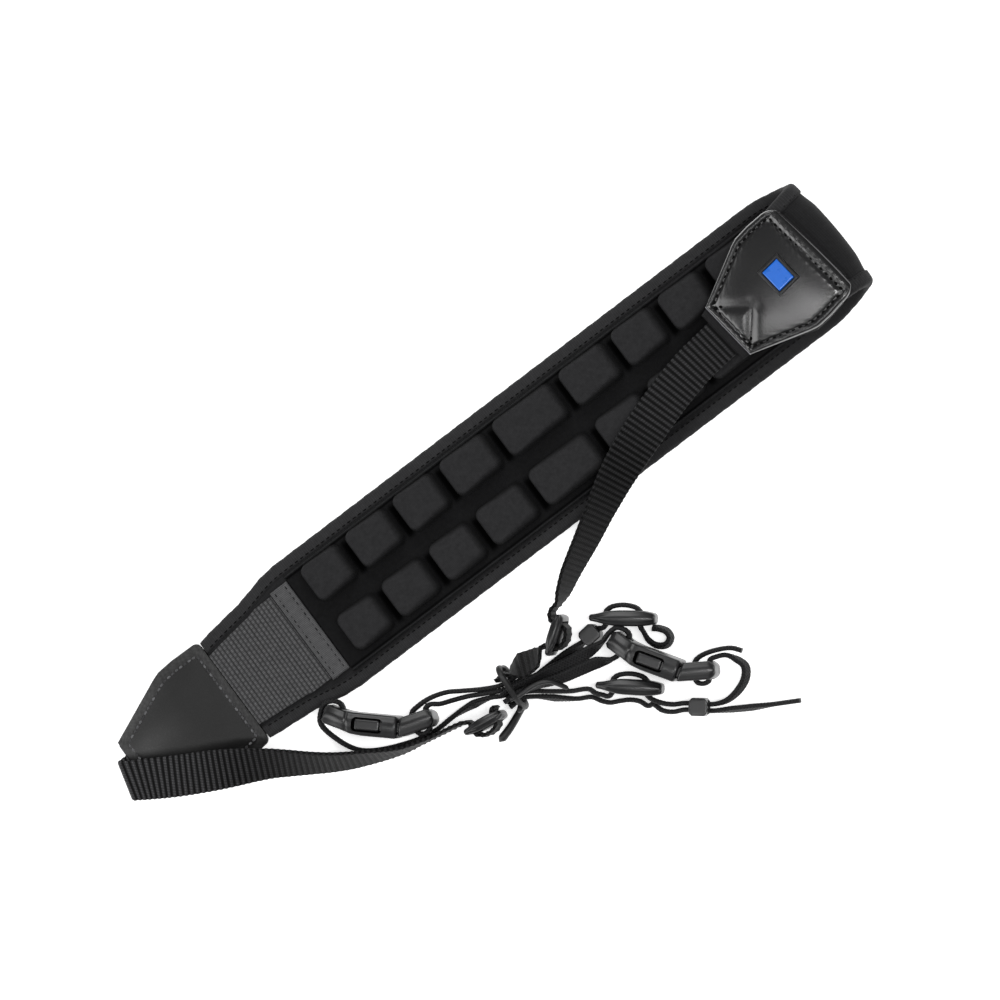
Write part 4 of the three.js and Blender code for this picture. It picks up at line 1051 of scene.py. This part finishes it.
class StrapPatches(bpy.types.Operator):
    """Coarse elastic patches and the turned hems beside them."""

    bl_idname = "strap.patches"
    bl_label = "Patches and hems"

    def execute(self, context):
        sizes = context.scene.strap_sizes
        made = finishes()
        widest, low, thick = 15.4, PAD_THICK + GAP, 0.8

        def weave(s, t, e):
            # Floats of the elastic cloth: lines |sin(pi s / a)|^0.8, each broken into dashes
            # |sin(pi t / b)|^0.6, neighbours offset by half a dash.
            line = s / sizes.weave_along
            across = t / sizes.weave_across + 0.5 * (np.floor(line) % 2)
            dash = np.abs(np.sin(math.pi * across)) ** 0.6
            return 0.3 * np.abs(np.sin(math.pi * line)) ** 0.8 * (0.35 + 0.65 * dash) - 0.15

        def lit(s, t, e):
            return 0.08 + 1.9 * (weave(s, t, e) + 0.15)

        for side, word in ((-1, "left"), (1, "right")):
            s = np.sort(side * stations(HEM_END + GAP, PAD_EDGE - GAP, 0.19))
            half = np.minimum(widest, pad_half(s) - BINDING_WIDTH - GAP - 0.6)
            patch = slab(s, half, low, low + thick, 0.3, weave, lit, count=130)
            make_piece(
                f"elastic_patch_{word}", [patch], [made["weave"]], [f"patch_{word}"],
            )
            self.hem(side, word, made)
        return {"FINISHED"}

    def hem(self, side, word, made):
        """A turned band, drawn in along two rows of stitches.

        Each row is 0.28 deep, exp(-((|s| - row) / 0.45)^2), and deeper at every stitch.
        """
        s = np.sort(side * stations(PANEL_END + GAP, HEM_END, 0.2))
        rows = (PANEL_END + 1.5, HEM_END - 1.3)
        low, thick, half_width, row_half = PAD_THICK + GAP, 1.3, 16.2, 15.6

        def raised(s, t, e):
            drawn = sum(np.exp(-((np.abs(s) - row) / 0.45) ** 2) for row in rows)
            return -0.28 * drawn * (0.75 + 0.25 * np.cos(math.pi * t)) + 0.05 * np.sin(t * 1.1)

        half = np.full(len(s), half_width)
        patches = [slab(s, half, low, low + thick, 0.45, raised, count=90)]
        stitch_height = low + thick - 0.25
        for row in rows:
            line = [(side * row, -row_half), (side * row, row_half)]
            patches += stitches(line, stitch_height, 2.0, (1.2, 0.5, 0.35), tone=0.35)
        make_piece(
            f"turned_hem_{word}", patches, [made["weave"], made["tape"]],
            [f"hem_{word}"],
        )


# ------------------------------------------------------------------ leather shields


def shield_line(edge, side, length, inset, far_side):
    """A line inside a shield's long edge, from its wide end to its narrow end."""
    d = np.linspace(inset + 0.4, length - inset, 24)
    half = shield_half(d, length, inset + 1.2)
    return [(side * (edge + k), far_side * (h - inset)) for k, h in zip(d, half)]


class StrapLeather(bpy.types.Operator):
    """Inner and outer leather shields with their stitches."""

    bl_idname = "strap.leather"
    bl_label = "Leather shields"

    def execute(self, context):
        for side, word in ((-1, "left"), (1, "right")):
            self.inner(side, word)
            self.outer(side, word)
        return {"FINISHED"}

    def border(self, edge, side, length, inset):
        """Corners of the stitched line all round a shield."""
        long_edges = [shield_line(edge, side, length, inset, k) for k in (1, -1)]
        wide_end = [(side * (edge + inset), long_edges[k][0][1]) for k in (1, 0)]
        narrow_end = [long_edges[0][-1], long_edges[1][-1]]
        return long_edges + [wide_end, narrow_end]

    def past_webbing(self, s, t):
        """Distance past the upper edge of the webbing that lies over the left shield.

        That edge is t = 0.8 - 0.605 (s + 154.3). The right shield is far from any webbing.
        """
        slope = 0.605
        distance = (t - 0.8 + slope * (s + 154.3)) / 1.17
        return distance + np.where(s > 0, 100, 0)

    def inner(self, side, word):
        """Dull shield: padded middle, drawn in at the stitches, burnished edge, with a painted
        sheen on its narrow half and a painted shadow beside the webbing.

        The stitches draw it in by 0.28 exp(-((e - 2.7) / 0.55)^2), it falls by 0.5 towards
        its edge, has a hump 0.35 exp(-(t / 5.5)^2) over the webbing sewn under its narrow
        half, and is pressed down by 1 where webbing lies over it.
        """
        flap = OUTER_LEATHER_EDGE + FLAP_LENGTH - PAD_EDGE
        length = (SHIELD_LENGTH if side < 0 else flap) - 0.8
        s = np.sort(side * (PAD_EDGE + stations(0, length, 0.3)))
        # The left one lies open and spreads a little.
        spread = 0.7 if side < 0 else 0.0
        half = shield_half(np.abs(s) - PAD_EDGE, length) + spread

        def raised(s, t, e):
            d = np.abs(s) - PAD_EDGE
            drawn = -0.28 * np.exp(-((e - 2.7) / 0.55) ** 2)
            fallen = -0.5 * (1 - smooth_step(2.7, 9.0, e))
            hump = 0.35 * np.exp(-(t / 5.5) ** 2) * smooth_step(16, 32, d)
            soft = 0.10 * np.sin(d * 0.45 + 1.0) * np.cos(t * 0.33)
            pressed = -1.0 * (1 - smooth_step(-1.0, 2.6, self.past_webbing(s, t)))
            return drawn + fallen + hump + soft + pressed

        def toned(s, t, e):
            d = np.abs(s) - PAD_EDGE
            speckle = 1 + 0.7 * np.sin(3.1 * d + 2 * np.sin(1.3 * t)) * np.sin(
                2.7 * t + 2 * np.sin(0.9 * d)
            )
            rim = 0.5 * (1 - smooth_step(1.8, 3.8, e)) * speckle
            # Painted sheen: the narrow half is painted lighter.
            wear_and_painted_sheen = 0.85 * smooth_step(12, 34, d) * (0.7 + 0.3 * np.sin(t * 0.5))
            rubbed_edge_and_highlight = 0.2 * (1 - smooth_step(0.0, 0.8, e))
            # Painted shadow: the leather beside the webbing's upper edge is painted dark.
            clear_of_painted_shadow = smooth_step(-0.5, 2.6, self.past_webbing(s, t))
            return (0.24 + rim + rubbed_edge_and_highlight + wear_and_painted_sheen) * (0.15 + 0.85 * clear_of_painted_shadow)

        made = finishes()
        shield = slab(s, half, 2.0, 4.6, 0.55, raised, toned, count=66)
        patches = [shield]
        pitch = bpy.context.scene.strap_sizes.stitch_pitch * 0.66
        for line in self.border(PAD_EDGE, side, length, 2.6):
            patches += stitches(line, 4.05, pitch, (1.25, 0.8, 0.45), tone=0.26)
        make_piece(
            f"inner_shield_{word}", patches, [made["dull_leather"], made["grey_thread"]],
            [f"inner_leather_{word}"],
        )

    def outer(self, side, word):
        """Glossy shield: smooth padded middle, rolled rim outside the stitches.

        The middle rises by 1.25 (1 - (2 d / length - 1)^4) (1 - (t / half)^2)^0.9. The
        stitches draw it in by 0.45 exp(-((e - 2.2) / 0.5)^2), and the rim is a parabola.
        """
        edge = OUTER_LEATHER_EDGE if side > 0 else PAD_EDGE
        length = FLAP_LENGTH if side > 0 else SHIELD_LENGTH
        # Two rows of stitches open from the tip towards the narrow end.
        tip, arm_end, arm_half = length - 11.0, length - 3.0, 7.3
        s = np.sort(side * (edge + stations(0, length, 0.31)))
        half = shield_half(np.abs(s) - edge, length, 3.2)

        def raised(s, t, e):
            d = np.abs(s) - edge
            groove = -0.45 * np.exp(-((e - 2.2) / 0.5) ** 2)
            rim = 0.35 * np.maximum(0, 1 - ((e - 1.1) / 1.2) ** 2)
            full = 1 - (t / shield_half(d, length, 3.2)) ** 2
            pad = 1.25 * (1 - (2 * d / length - 1) ** 4) * np.maximum(full, 0) ** 0.9
            beat = np.cos(2 * math.pi * (d + np.abs(t)) / 2.4)
            pucker = 0.06 * beat * np.exp(-((e - 2.2) / 1.2) ** 2)
            arms = np.abs(t) - arm_half * np.maximum(0, d - tip) / (arm_end - tip)
            tuck = smooth_step(tip - 4.0, tip + 1.0, d) * smooth_step(0.8, 3.0, e)
            hollow = -0.4 * tuck * np.exp(-((arms / 2.2) ** 2))
            if side < 0:
                # This one lies face down and is pressed flat.
                return 0.3 * (groove + rim + pucker + hollow) - 0.15
            return groove + rim + pad + pucker + hollow

        def toned(s, t, e):
            d = np.abs(s) - edge
            # Painted highlights: the narrow end's edge is painted near white as a glint, the
            # crest of the rolled rim is painted lighter as its highlight, and the very edge is
            # a little lighter, rubbed and painted highlight.
            painted_edge_highlight = 24.0 * smooth_step(length - 0.6, length - 0.2, d)
            rubbed_edge_and_highlight = 0.05 * (1 - smooth_step(0.0, 0.9, e))
            return 0.42 + 0.2 * np.exp(-((e - 1.3) / 0.8) ** 2) + rubbed_edge_and_highlight + painted_edge_highlight

        made = finishes()
        low, high = -LEATHER_HOLD, -0.3
        shield = slab(s, half, low, high, 0.7, raised, toned, count=66, outer=True)
        patches = [shield]
        pitch = bpy.context.scene.strap_sizes.stitch_pitch * 0.87
        h = low + (0.1 if side > 0 else 0.55)
        bead = (1.35, 0.95, 0.7)
        for line in self.border(edge, side, length, 2.2):
            patches += stitches(line, h, pitch, bead, True)
        for k in (1, -1):
            line = [(side * (edge + tip), 0.0), (side * (edge + arm_end), arm_half * k)]
            patches += stitches(line, h - 0.2, pitch, bead, True)
        make_piece(
            f"outer_shield_{word}", patches, [made["gloss_leather"], made["black_thread"]],
            [f"outer_leather_{word}"],
        )


class StrapBadge(bpy.types.Operator):
    """Plain tile in a moulded rim on the folded shield."""

    bl_idname = "strap.badge"
    bl_label = "Badge"

    def execute(self, context):
        made = finishes()
        s, t, length, width, rim = 129.9, 1.1, 8.3, 9.8, 1.0
        low = -LEATHER_HOLD - 1.15

        def frame_height(s, t, e):
            # Inside the rim the frame sinks by 0.75 to carry the tile.
            return -0.75 * smooth_step(rim - 0.15, rim + 0.1, e)

        def plate(inset, step, low, top, rounding, raised=None, count=24):
            end = length / 2 - inset
            along = stations(s - end, s + end, step)
            half = np.full(len(along), width / 2 - inset)
            return slab(along, half, low, top, rounding, raised, count=count, outer=True)

        frame_plate = plate(0.0, 0.12, low - 1.0, low, 0.3, frame_height, 70)
        tile = plate(rim + 0.1, 0.15, low - 1.15, low - 0.2, 0.35)
        middle, off_middle = lay(np.array([s, s]), np.array([0.0, t]), 0.0)
        for patch in (frame_plate, tile):
            patch["verts"] = patch["verts"] + (off_middle - middle)
        make_piece("badge_rim", [frame_plate], [made["rim"]], ["badge_frame"])
        make_piece(
            "badge_plain_tile", [tile], [made["tile"]], ["badge_tile"]
        )
        return {"FINISHED"}


# ------------------------------------------------------------------ webbing


def webbing_surface(rows, rib_light):
    """Ribbed webbing: each rib is a smooth step of |sin(pi arc / pitch)|, from 0.45 to 1.

    Each rib is broken by the warp: 1 + 0.12 cos(2 pi (across / 1.05 + rib number / 2)). Its
    tone is painted light on the ribs and near black in the grooves between them, painted light
    and shade, and is painted darker, as shade, where the webbing stands on its edge.
    """
    pitch = bpy.context.scene.strap_sizes.rib_pitch
    path = route(rows, 0.24)
    across, up, face = flat_section(WEBBING_WIDTH - 0.25, WEBBING_THICK - 0.3, 30)
    arc = path["arc"][:, None]
    rib = smooth_step(0.45, 1.0, np.abs(np.sin(math.pi * arc / pitch)))
    warp = 1 + 0.12 * np.cos(2 * math.pi * (across[None] / 1.05 + np.floor(arc / pitch) * 0.5))
    swell = (0.26 * rib * warp - 0.1) * face[None]
    edge = 0.16 * rib * (face == 0)[None] * np.sign(across)[None]
    # Painted shade: darker where the webbing stands on its edge.
    on_edge = 1 - 0.7 * np.abs(path["wide"][:, 2])[:, None]
    # Painted light on the ribs, with the grooves painted near black as shade.
    tone = (0.02 + rib_light * rib * (0.75 + 0.25 * warp)) * on_edge
    points = sweep(path, across[None] + edge, up[None] + swell)
    uv = strap_uv(path, across, up)
    return grid(points, uv=uv, tone=tone)


class StrapWebbing(bpy.types.Operator):
    """Half-inch ribbed webbing from both shields."""

    bl_idname = "strap.webbing"
    bl_label = "Webbing"

    def execute(self, context):
        material = finishes()["webbing"]
        # How light the ribs are painted; the right webbing's are painted darker than the
        # left's.
        for rows, rib_light, word in ((WEBBING_LEFT, 1.2, "left"), (WEBBING_RIGHT, 0.75, "right")):
            make_piece(
                f"ribbed_webbing_{word}", [webbing_surface(rows, rib_light)], [material],
                [f"webbing_{word}"],
            )
        return {"FINISHED"}


# ------------------------------------------------------------------ moulded pieces and tie

BUCKLE_LOW = 0.2
BUCKLE_HIGH = 16.2
# How high the cord slots of the buckles reach.
SLOT_LOW, SLOT_HIGH = 5.5, 10.9
# Each tri-glide's slots lie slot_at from its middle. full is how far its middle swells.
CORD_GLIDE = {
    "length": 20.2, "thick": 3.5, "high": 11.2, "slot_at": 5.3, "slot_span": 2.6,
    "slot_low": 3.2, "slot_high": 8.2, "full": 0.8,
}
WEBBING_GLIDE = {
    "length": 12.8, "thick": 3.2, "high": 17.2, "slot_at": 3.6, "slot_span": 2.4,
    "slot_low": 1.8, "slot_high": 15.6, "full": 0.5,
}
# Half widths of the female half on either side of its axis, its mouth at 0.
FEMALE_RIGHT_SIDE = ((-23.9, -23.2, -17.9, -14.5, -11, 0), (-0.3, 0.6, 1.9, 3.0, 3.35, 3.35))
FEMALE_LEFT_SIDE = ((-23.9, -22.9, -21.8, -16.5, -14, 0), (0.3, 4.5, 5.0, 3.7, 3.45, 3.45))


def bar(place, start, end, right, left, low, high, rounding, skew=0.0, crown=0.0):
    """A bar along its own axis u, from start to end, all edges rounded.

    right, left, low and high are numbers or functions of u: how far it reaches on either
    side of the axis, and its lowest and highest z. At d from an end every side draws in by
    r - sqrt(r^2 - (r - d)^2), r being the rounding. skew slants the start by u + skew v.
    The top falls by crown from its middle line to its long edges, as the square of the
    distance.
    """
    r = rounding
    turn = np.linspace(0, 1, 5)[1:] * math.pi / 2
    ends = r * (1 - np.cos(np.concatenate([[0.02], turn])))
    u = np.concatenate([
        start + ends, stations(start + r, end - r, 0.3)[1:-1], (end - ends)[::-1]
    ])
    d = np.minimum(u - start, end - u)
    inset = r - np.sqrt(np.maximum(r**2 - (r - np.minimum(d, r)) ** 2, 0))
    right, left, low, high = (
        side(u) if callable(side) else np.full(len(u), float(side))
        for side in (right, left, low, high)
    )
    v_half = np.maximum((right + left) / 2 - inset, 0.12)
    z_half = np.maximum((high - low) / 2 - inset, 0.12)
    v0, v1 = (left - right) / 2 - v_half, (left - right) / 2 + v_half
    z0, z1 = (low + high) / 2 - z_half, (low + high) / 2 + z_half
    corner = np.minimum(r, np.minimum(v1 - v0, z1 - z0) * 0.48)[:, None]
    angle = np.linspace(0, 1, 5) * math.pi / 2
    c, k = np.cos(angle)[None], np.sin(angle)[None]
    v0, v1, z0, z1 = (side[:, None] for side in (v0, v1, z0, z1))
    steps = np.linspace(0, 1, 7)[None, 1:-1]
    flat_v = (v0 + corner) * (1 - steps) + (v1 - corner) * steps
    across = np.concatenate([
        v1 - corner + corner * c, flat_v[:, ::-1], v0 + corner - corner * k,
        v0 + corner - corner * c, flat_v, v1 - corner + corner * k,
    ], axis=1)
    shoulder = z1 - crown
    top = shoulder + crown * (1 - (2 * steps - 1) ** 2)
    foot = np.broadcast_to(z0, flat_v.shape)
    height = np.concatenate([
        shoulder - corner + corner * k, top, shoulder - corner + corner * c,
        z0 + corner - corner * k, foot, z0 + corner - corner * c,
    ], axis=1)
    along = u[:, None] + skew * across * (1 - smooth_step(start, start + 4, u))[:, None]
    x, y, degrees = place
    c, k = math.cos(math.radians(degrees)), math.sin(math.radians(degrees))
    points = np.stack([
        BUNDLE_X + x + along * c - across * k, y + along * k + across * c, height
    ], axis=-1)
    return grid(points)


def tube(points, radius, closed=False):
    """A round wire: a circle carried along the curve through points.

    radius is a number or a function of 0 ... 1 along it.
    """
    line = np.array(points, dtype=float) + (BUNDLE_X, 0, 0)
    if closed:
        line = np.concatenate([line[-2:], line, line[:2]])
    first, last = (2, len(line) - 2) if closed else (0, len(line) - 1)
    at = np.linspace(first, last, 14 * (last - first) + 1)
    if closed:
        at = at[:-1]
    centre, ahead = curve_through(line, at)
    ahead = unit(ahead)
    side = unit(np.cross(ahead, (0.31, 0.95, 0.06)))
    up = np.cross(side, ahead)
    share = np.linspace(0, 1, len(at))
    wide = radius(share) if callable(radius) else np.full(len(at), radius)
    turn = np.linspace(0, 2 * math.pi, 17)[:-1]
    c, k = np.cos(turn)[None, :, None], np.sin(turn)[None, :, None]
    shape = centre[:, None] + wide[:, None, None] * (c * side[:, None] + k * up[:, None])
    return grid(shape, closed)


def moulded_piece(node, body, holes):
    """One moulded piece in the place of its node."""
    make_piece(
        f"{node}_moulded", body, [finishes()["moulding"]], [node], holes=holes
    )


class StrapBuckles(bpy.types.Operator):
    """Both small buckles, clipped together, standing on a side edge."""

    bl_idname = "strap.buckles"
    bl_label = "Buckles"

    def execute(self, context):
        for female, male, word in (
            (FEMALE_LEFT, MALE_LEFT, "left"), (FEMALE_RIGHT, MALE_RIGHT, "right")
        ):
            moulded_piece(f"buckle_female_{word}", *self.female(female))
            moulded_piece(f"buckle_male_{word}", *self.male(male, female))
        return {"FINISHED"}

    def female(self, place):
        """Socket with a window over each prong, a turned cord bar and a crease beside it.

        Its top falls by 2.4 ((-16.2 - u) / 7.7)^2 behind the windows and has a crease
        0.3 exp(-((u + 16) / 0.3)^2). Its foot is the same upside down.
        """

        def top(u):
            fallen = 2.4 * (np.maximum(0, -16.2 - u) / 7.7) ** 2
            return BUCKLE_HIGH - fallen - 0.3 * np.exp(-((u + 16.0) / 0.3) ** 2)

        def foot(u):
            return BUCKLE_LOW + BUCKLE_HIGH - top(u)

        body = bar(
            place, -23.9, -0.3, lambda u: np.interp(u, *FEMALE_RIGHT_SIDE),
            lambda u: np.interp(u, *FEMALE_LEFT_SIDE), foot, top, 0.9, crown=0.7,
        )
        bar_end = within(place, BAR_END)
        # Windows at the foot and the top, the mouth, and the slot beside the cord bar.
        holes = [
            bar(place, -14.2, -4.8, 2.2, 2.2, -2, 5.2, 1.3),
            bar(place, -14.2, -4.8, 2.2, 2.2, 11.2, BUCKLE_HIGH + 2, 1.3),
            bar(place, -5.5, 2.0, 2.0, 2.0, 1.6, BUCKLE_HIGH - 1.4, 0.3),
            bar(bar_end, -0.4, 2.2, 7, 7, SLOT_LOW, SLOT_HIGH, 0.5),
        ]
        return [body], holes

    def male(self, place, female_place):
        """Bent body with two cord slots and a sprung prong at the top and at the foot.

        Its top falls by 0.9 (u / 11)^2 and its sides draw in from 2.75 to 1.55 at its end.
        """

        def top(u):
            return BUCKLE_HIGH - 0.9 * (u / 11) ** 2

        def foot(u):
            return BUCKLE_LOW + BUCKLE_HIGH - top(u)

        def side(u):
            return 2.75 - 1.2 * smooth_step(9.0, 11.2, u)

        parts = [bar(place, 0.25, 11.0, side, side, foot, top, 0.7, skew=0.44, crown=0.6)]
        prong_heads, prong_roots = ((0.7, 4.6), (11.8, 15.7)), ((2.1, 4.6), (11.8, 14.3))
        for low, high in prong_heads:
            parts.append(bar(female_place, -13.4, -5.6, 1.7, 1.7, low, high, 0.6))
        for low, high in prong_roots:
            parts.append(bar(female_place, -6.5, 1.2, 1.5, 1.5, low, high, 0.3))
        holes = [
            bar(place, u - 1.1, u + 1.1, 7, 7, SLOT_LOW, SLOT_HIGH, 0.5) for u in (4.1, 8.5)
        ]
        return parts, holes


class StrapGlides(bpy.types.Operator):
    """Tri-glides and barrel keepers."""

    bl_idname = "strap.glides"
    bl_label = "Tri-glides and keepers"

    def execute(self, context):
        for letter, place, shape in (
            ("a", GLIDE_A, CORD_GLIDE), ("b", GLIDE_B, CORD_GLIDE),
            ("c", GLIDE_C, WEBBING_GLIDE), ("d", GLIDE_D, WEBBING_GLIDE),
        ):
            moulded_piece(f"tri_glide_{letter}", *self.glide(place, **shape))
        end, high, hole_low, hole_high = 2.9, 8.6, 2.0, 6.8
        for letter, place, hole_half in (("a", KEEPER_A, 1.1), ("b", KEEPER_B, 2.05)):
            barrel = bar(place, -end, end, self.barrel, self.barrel, BUCKLE_LOW, high, 0.4)
            hole = bar(place, -4, 4, hole_half, hole_half, hole_low, hole_high, 0.4)
            moulded_piece(f"keeper_{letter}", [barrel], [hole])
        return {"FINISHED"}

    def barrel(self, u):
        """Half width of a keeper: straight, then chamfered at 45 degrees."""
        return 2.7 - np.maximum(0, np.abs(u) - 1.9)

    def glide(self, place, length, thick, high, slot_at, slot_span, slot_low, slot_high, full):
        """A bowed plate: full in the middle, falling towards both ends, with two slots.

        Its half thickness is thick / 2 (0.55 + full exp(-((u - 0.08 length) / (0.42
        length))^4)), and its top falls by 1.3 (2 u / length)^2.
        """

        def side(u):
            lens = np.exp(-((u - 0.08 * length) / (0.42 * length)) ** 4)
            return thick / 2 * (0.55 + full * lens)

        def top(u):
            return high - 1.3 * (u / (length / 2)) ** 2

        def foot(u):
            return BUCKLE_LOW + high - top(u)

        body = bar(place, -length / 2, length / 2, side, side, foot, top, 0.8, crown=0.55)
        holes = [
            bar(place, u - slot_span / 2, u + slot_span / 2, 5, 5, slot_low, slot_high, 0.5)
            for u in (-slot_at, slot_at)
        ]
        return [body], holes


# The wire's ring round the bundle as y and z, and how it leans along the bundle.
TIE_RING = [
    (-44.6, 8.5), (-44.7, 15.2), (-46.6, 17.3), (-50.4, 16.4), (-54.6, 13.8), (-57.3, 9.6),
    (-57.4, 3.5), (-56.5, 1.45), (-51.0, 1.4), (-46.2, 1.4), (-44.7, 3.0),
]
TIE_X = -32.0
TIE_LEAN = 0.12
WIRE_THICK = 2.0


def blunt_end(start, k):
    """1 along a wire, and from start to its end falling to a small rounded tip."""
    return np.sqrt(1 - 0.97 * smooth_step(start, 1, k))


class StrapTie(bpy.types.Operator):
    """Coated wire twisted round the bundle: a ring, a thin end, a folded fat end and a stub."""

    bl_idname = "strap.tie"
    bl_label = "Wire tie"

    def execute(self, context):
        ring = [(TIE_X + TIE_LEAN * (y + 51), y, z) for y, z in TIE_RING]
        thin_end = [
            (-34.2, -54.0, 14.2), (-31, -54.6, 14.2), (-27.5, -54.6, 13.8), (-24, -55.2, 13.4),
            (-21.5, -56.6, 12.8), (-19.7, -59.3, 10.6), (-18.6, -61.6, 8.6),
        ]
        fat_end = [
            (-32.5, -57.0, 6.5), (-35.5, -58.0, 4.6), (-40.5, -59.8, 2.6), (-45.8, -61.2, 1.7),
        ]
        stub = [(-33.0, -56.6, 9.0), (-33.8, -57.6, 10.6), (-34.3, -58.2, 12.4)]
        patches = [
            tube(ring, WIRE_THICK / 2, closed=True),
            tube(thin_end, lambda k: 0.75 * blunt_end(0.93, k)),
            tube(fat_end, lambda k: (1.0 + 0.35 * k) * blunt_end(0.9, k)),
            tube(stub, lambda k: 0.9 * blunt_end(0.7, k)),
        ]
        make_piece(
            "wire_tie_coated", patches, [finishes()["wire"]], ["wire_tie"]
        )
        return {"FINISHED"}


# ------------------------------------------------------------------ studio


class StrapStudio(bpy.types.Operator):
    """Pale floor, soft light from all round and the camera."""

    bl_idname = "strap.studio"
    bl_label = "Studio"

    def execute(self, context):
        scene = context.scene
        settings = scene.strap_studio
        self.add_floor()
        self.add_camera(scene, settings)
        self.add_lights(scene)
        scene.view_settings.view_transform = "Standard"
        return {"FINISHED"}

    def add_floor(self):
        """A sheet of white paper five metres wide, lit from within so that it stays pale."""
        half = 2.5
        mesh = bpy.data.meshes.new("floor")
        corners = [(-half, -half, 0), (half, -half, 0), (half, half, 0), (-half, half, 0)]
        mesh.from_pydata(corners, [], [(0, 1, 2, 3)])
        floor = bpy.data.objects.new("floor", mesh)
        material = surface_shader(
            "White paper floor", 0.9, Base_Color=(*linear("#f6f6f6"), 1),
            Specular_IOR_Level=0.1, Emission_Color=(1, 1, 1, 1), Emission_Strength=0.6,
        )[0]
        mesh.materials.append(material)
        bpy.context.scene.collection.objects.link(floor)

    def add_camera(self, scene, settings):
        """Looks down with the pad's axis rising to the right; leans to the view's right."""
        rise = settings.rise
        right = Vector((math.cos(rise), -math.sin(rise), 0))
        up = Vector((math.sin(rise), math.cos(rise), 0))
        back = right * math.sin(settings.lean) + Vector((0, 0, math.cos(settings.lean)))
        side = up.cross(back)
        data = bpy.data.cameras.new("camera")
        data.sensor_width = 36
        data.lens = 36 * settings.distance / settings.width
        data.clip_end = 20
        camera = bpy.data.objects.new("camera", data)
        turn = Matrix((side, up, back)).transposed().to_4x4()
        place = Vector((settings.aim_x, settings.aim_y, 0)) + back * settings.distance
        camera.matrix_world = Matrix.Translation(place) @ turn
        scene.collection.objects.link(camera)
        scene.camera = camera

    def add_lights(self, scene):
        """A dim white room and square panels: name, place and size in metres, and watts."""
        world = bpy.data.worlds.new("Soft white room")
        world.use_nodes = True
        world.node_tree.nodes["Background"].inputs[0].default_value = (1, 1, 1, 1)
        world.node_tree.nodes["Background"].inputs[1].default_value = 0.15
        scene.world = world
        for name, place, size, power in (
            ("key", (0.5, -1.02, 0.95), 0.5, 0.8),
            ("panel_over_front", (-0.24, -0.152, 1.15), 0.2, 1.1),
            ("panel_over_right", (0.23, -0.22, 1.15), 0.22, 4.0),
            ("panel_right_high", (0.55, -0.42, 1.1), 0.34, 2.5),
            ("panel_front_high", (-0.36, -0.62, 1.1), 0.5, 1.2),
            ("panel_left", (-0.95, 0.25, 0.85), 0.8, 8.0),
            ("panel_back", (0.45, 0.95, 0.9), 0.8, 8.0),
        ):
            self.add_panel(name, place, size, power)

    def add_panel(self, name, place, size, power):
        """A square light aimed at the strap."""
        data = bpy.data.lights.new(name, "AREA")
        data.shape = "RECTANGLE"
        data.size = data.size_y = size
        data.energy = power
        light = bpy.data.objects.new(name, data)
        light.location = place
        light.rotation_euler = Vector(place).to_track_quat("Z", "Y").to_euler()
        bpy.context.scene.collection.objects.link(light)


# ------------------------------------------------------------------ panel and running


class StrapPanel(bpy.types.Panel):
    """Lists the strap's pieces in the sidebar."""

    bl_label = "Binocular strap"
    bl_space_type = "VIEW_3D"
    bl_region_type = "UI"
    bl_category = "Strap"

    def draw(self, context):
        for operator in OPERATORS:
            self.layout.operator(operator.bl_idname)
        for group in (context.scene.strap_sizes, context.scene.strap_colours):
            # The first two properties of a group are Blender's own.
            for name in group.bl_rna.properties.keys()[2:]:
                self.layout.prop(group, name)


GROUPS = (StrapSizes, StrapColours, StudioSettings)
OPERATORS = (
    StrapStudio, StrapCords, StrapPad, StrapCells, StrapBindings, StrapPatches, StrapLeather,
    StrapBadge, StrapWebbing, StrapBuckles, StrapGlides, StrapTie,
)


def register():
    for item in (*GROUPS, *OPERATORS, StrapPanel):
        bpy.utils.register_class(item)
    bpy.types.Scene.strap_sizes = PointerProperty(type=StrapSizes)
    bpy.types.Scene.strap_colours = PointerProperty(type=StrapColours)
    bpy.types.Scene.strap_studio = PointerProperty(type=StudioSettings)


def unregister():
    del bpy.types.Scene.strap_studio
    del bpy.types.Scene.strap_colours
    del bpy.types.Scene.strap_sizes
    for item in reversed((*GROUPS, *OPERATORS, StrapPanel)):
        bpy.utils.unregister_class(item)


def main():
    register()
    for operator in OPERATORS:
        area, name = operator.bl_idname.split(".")
        getattr(getattr(bpy.ops, area), name)()


if __name__ == "__main__":
    main()
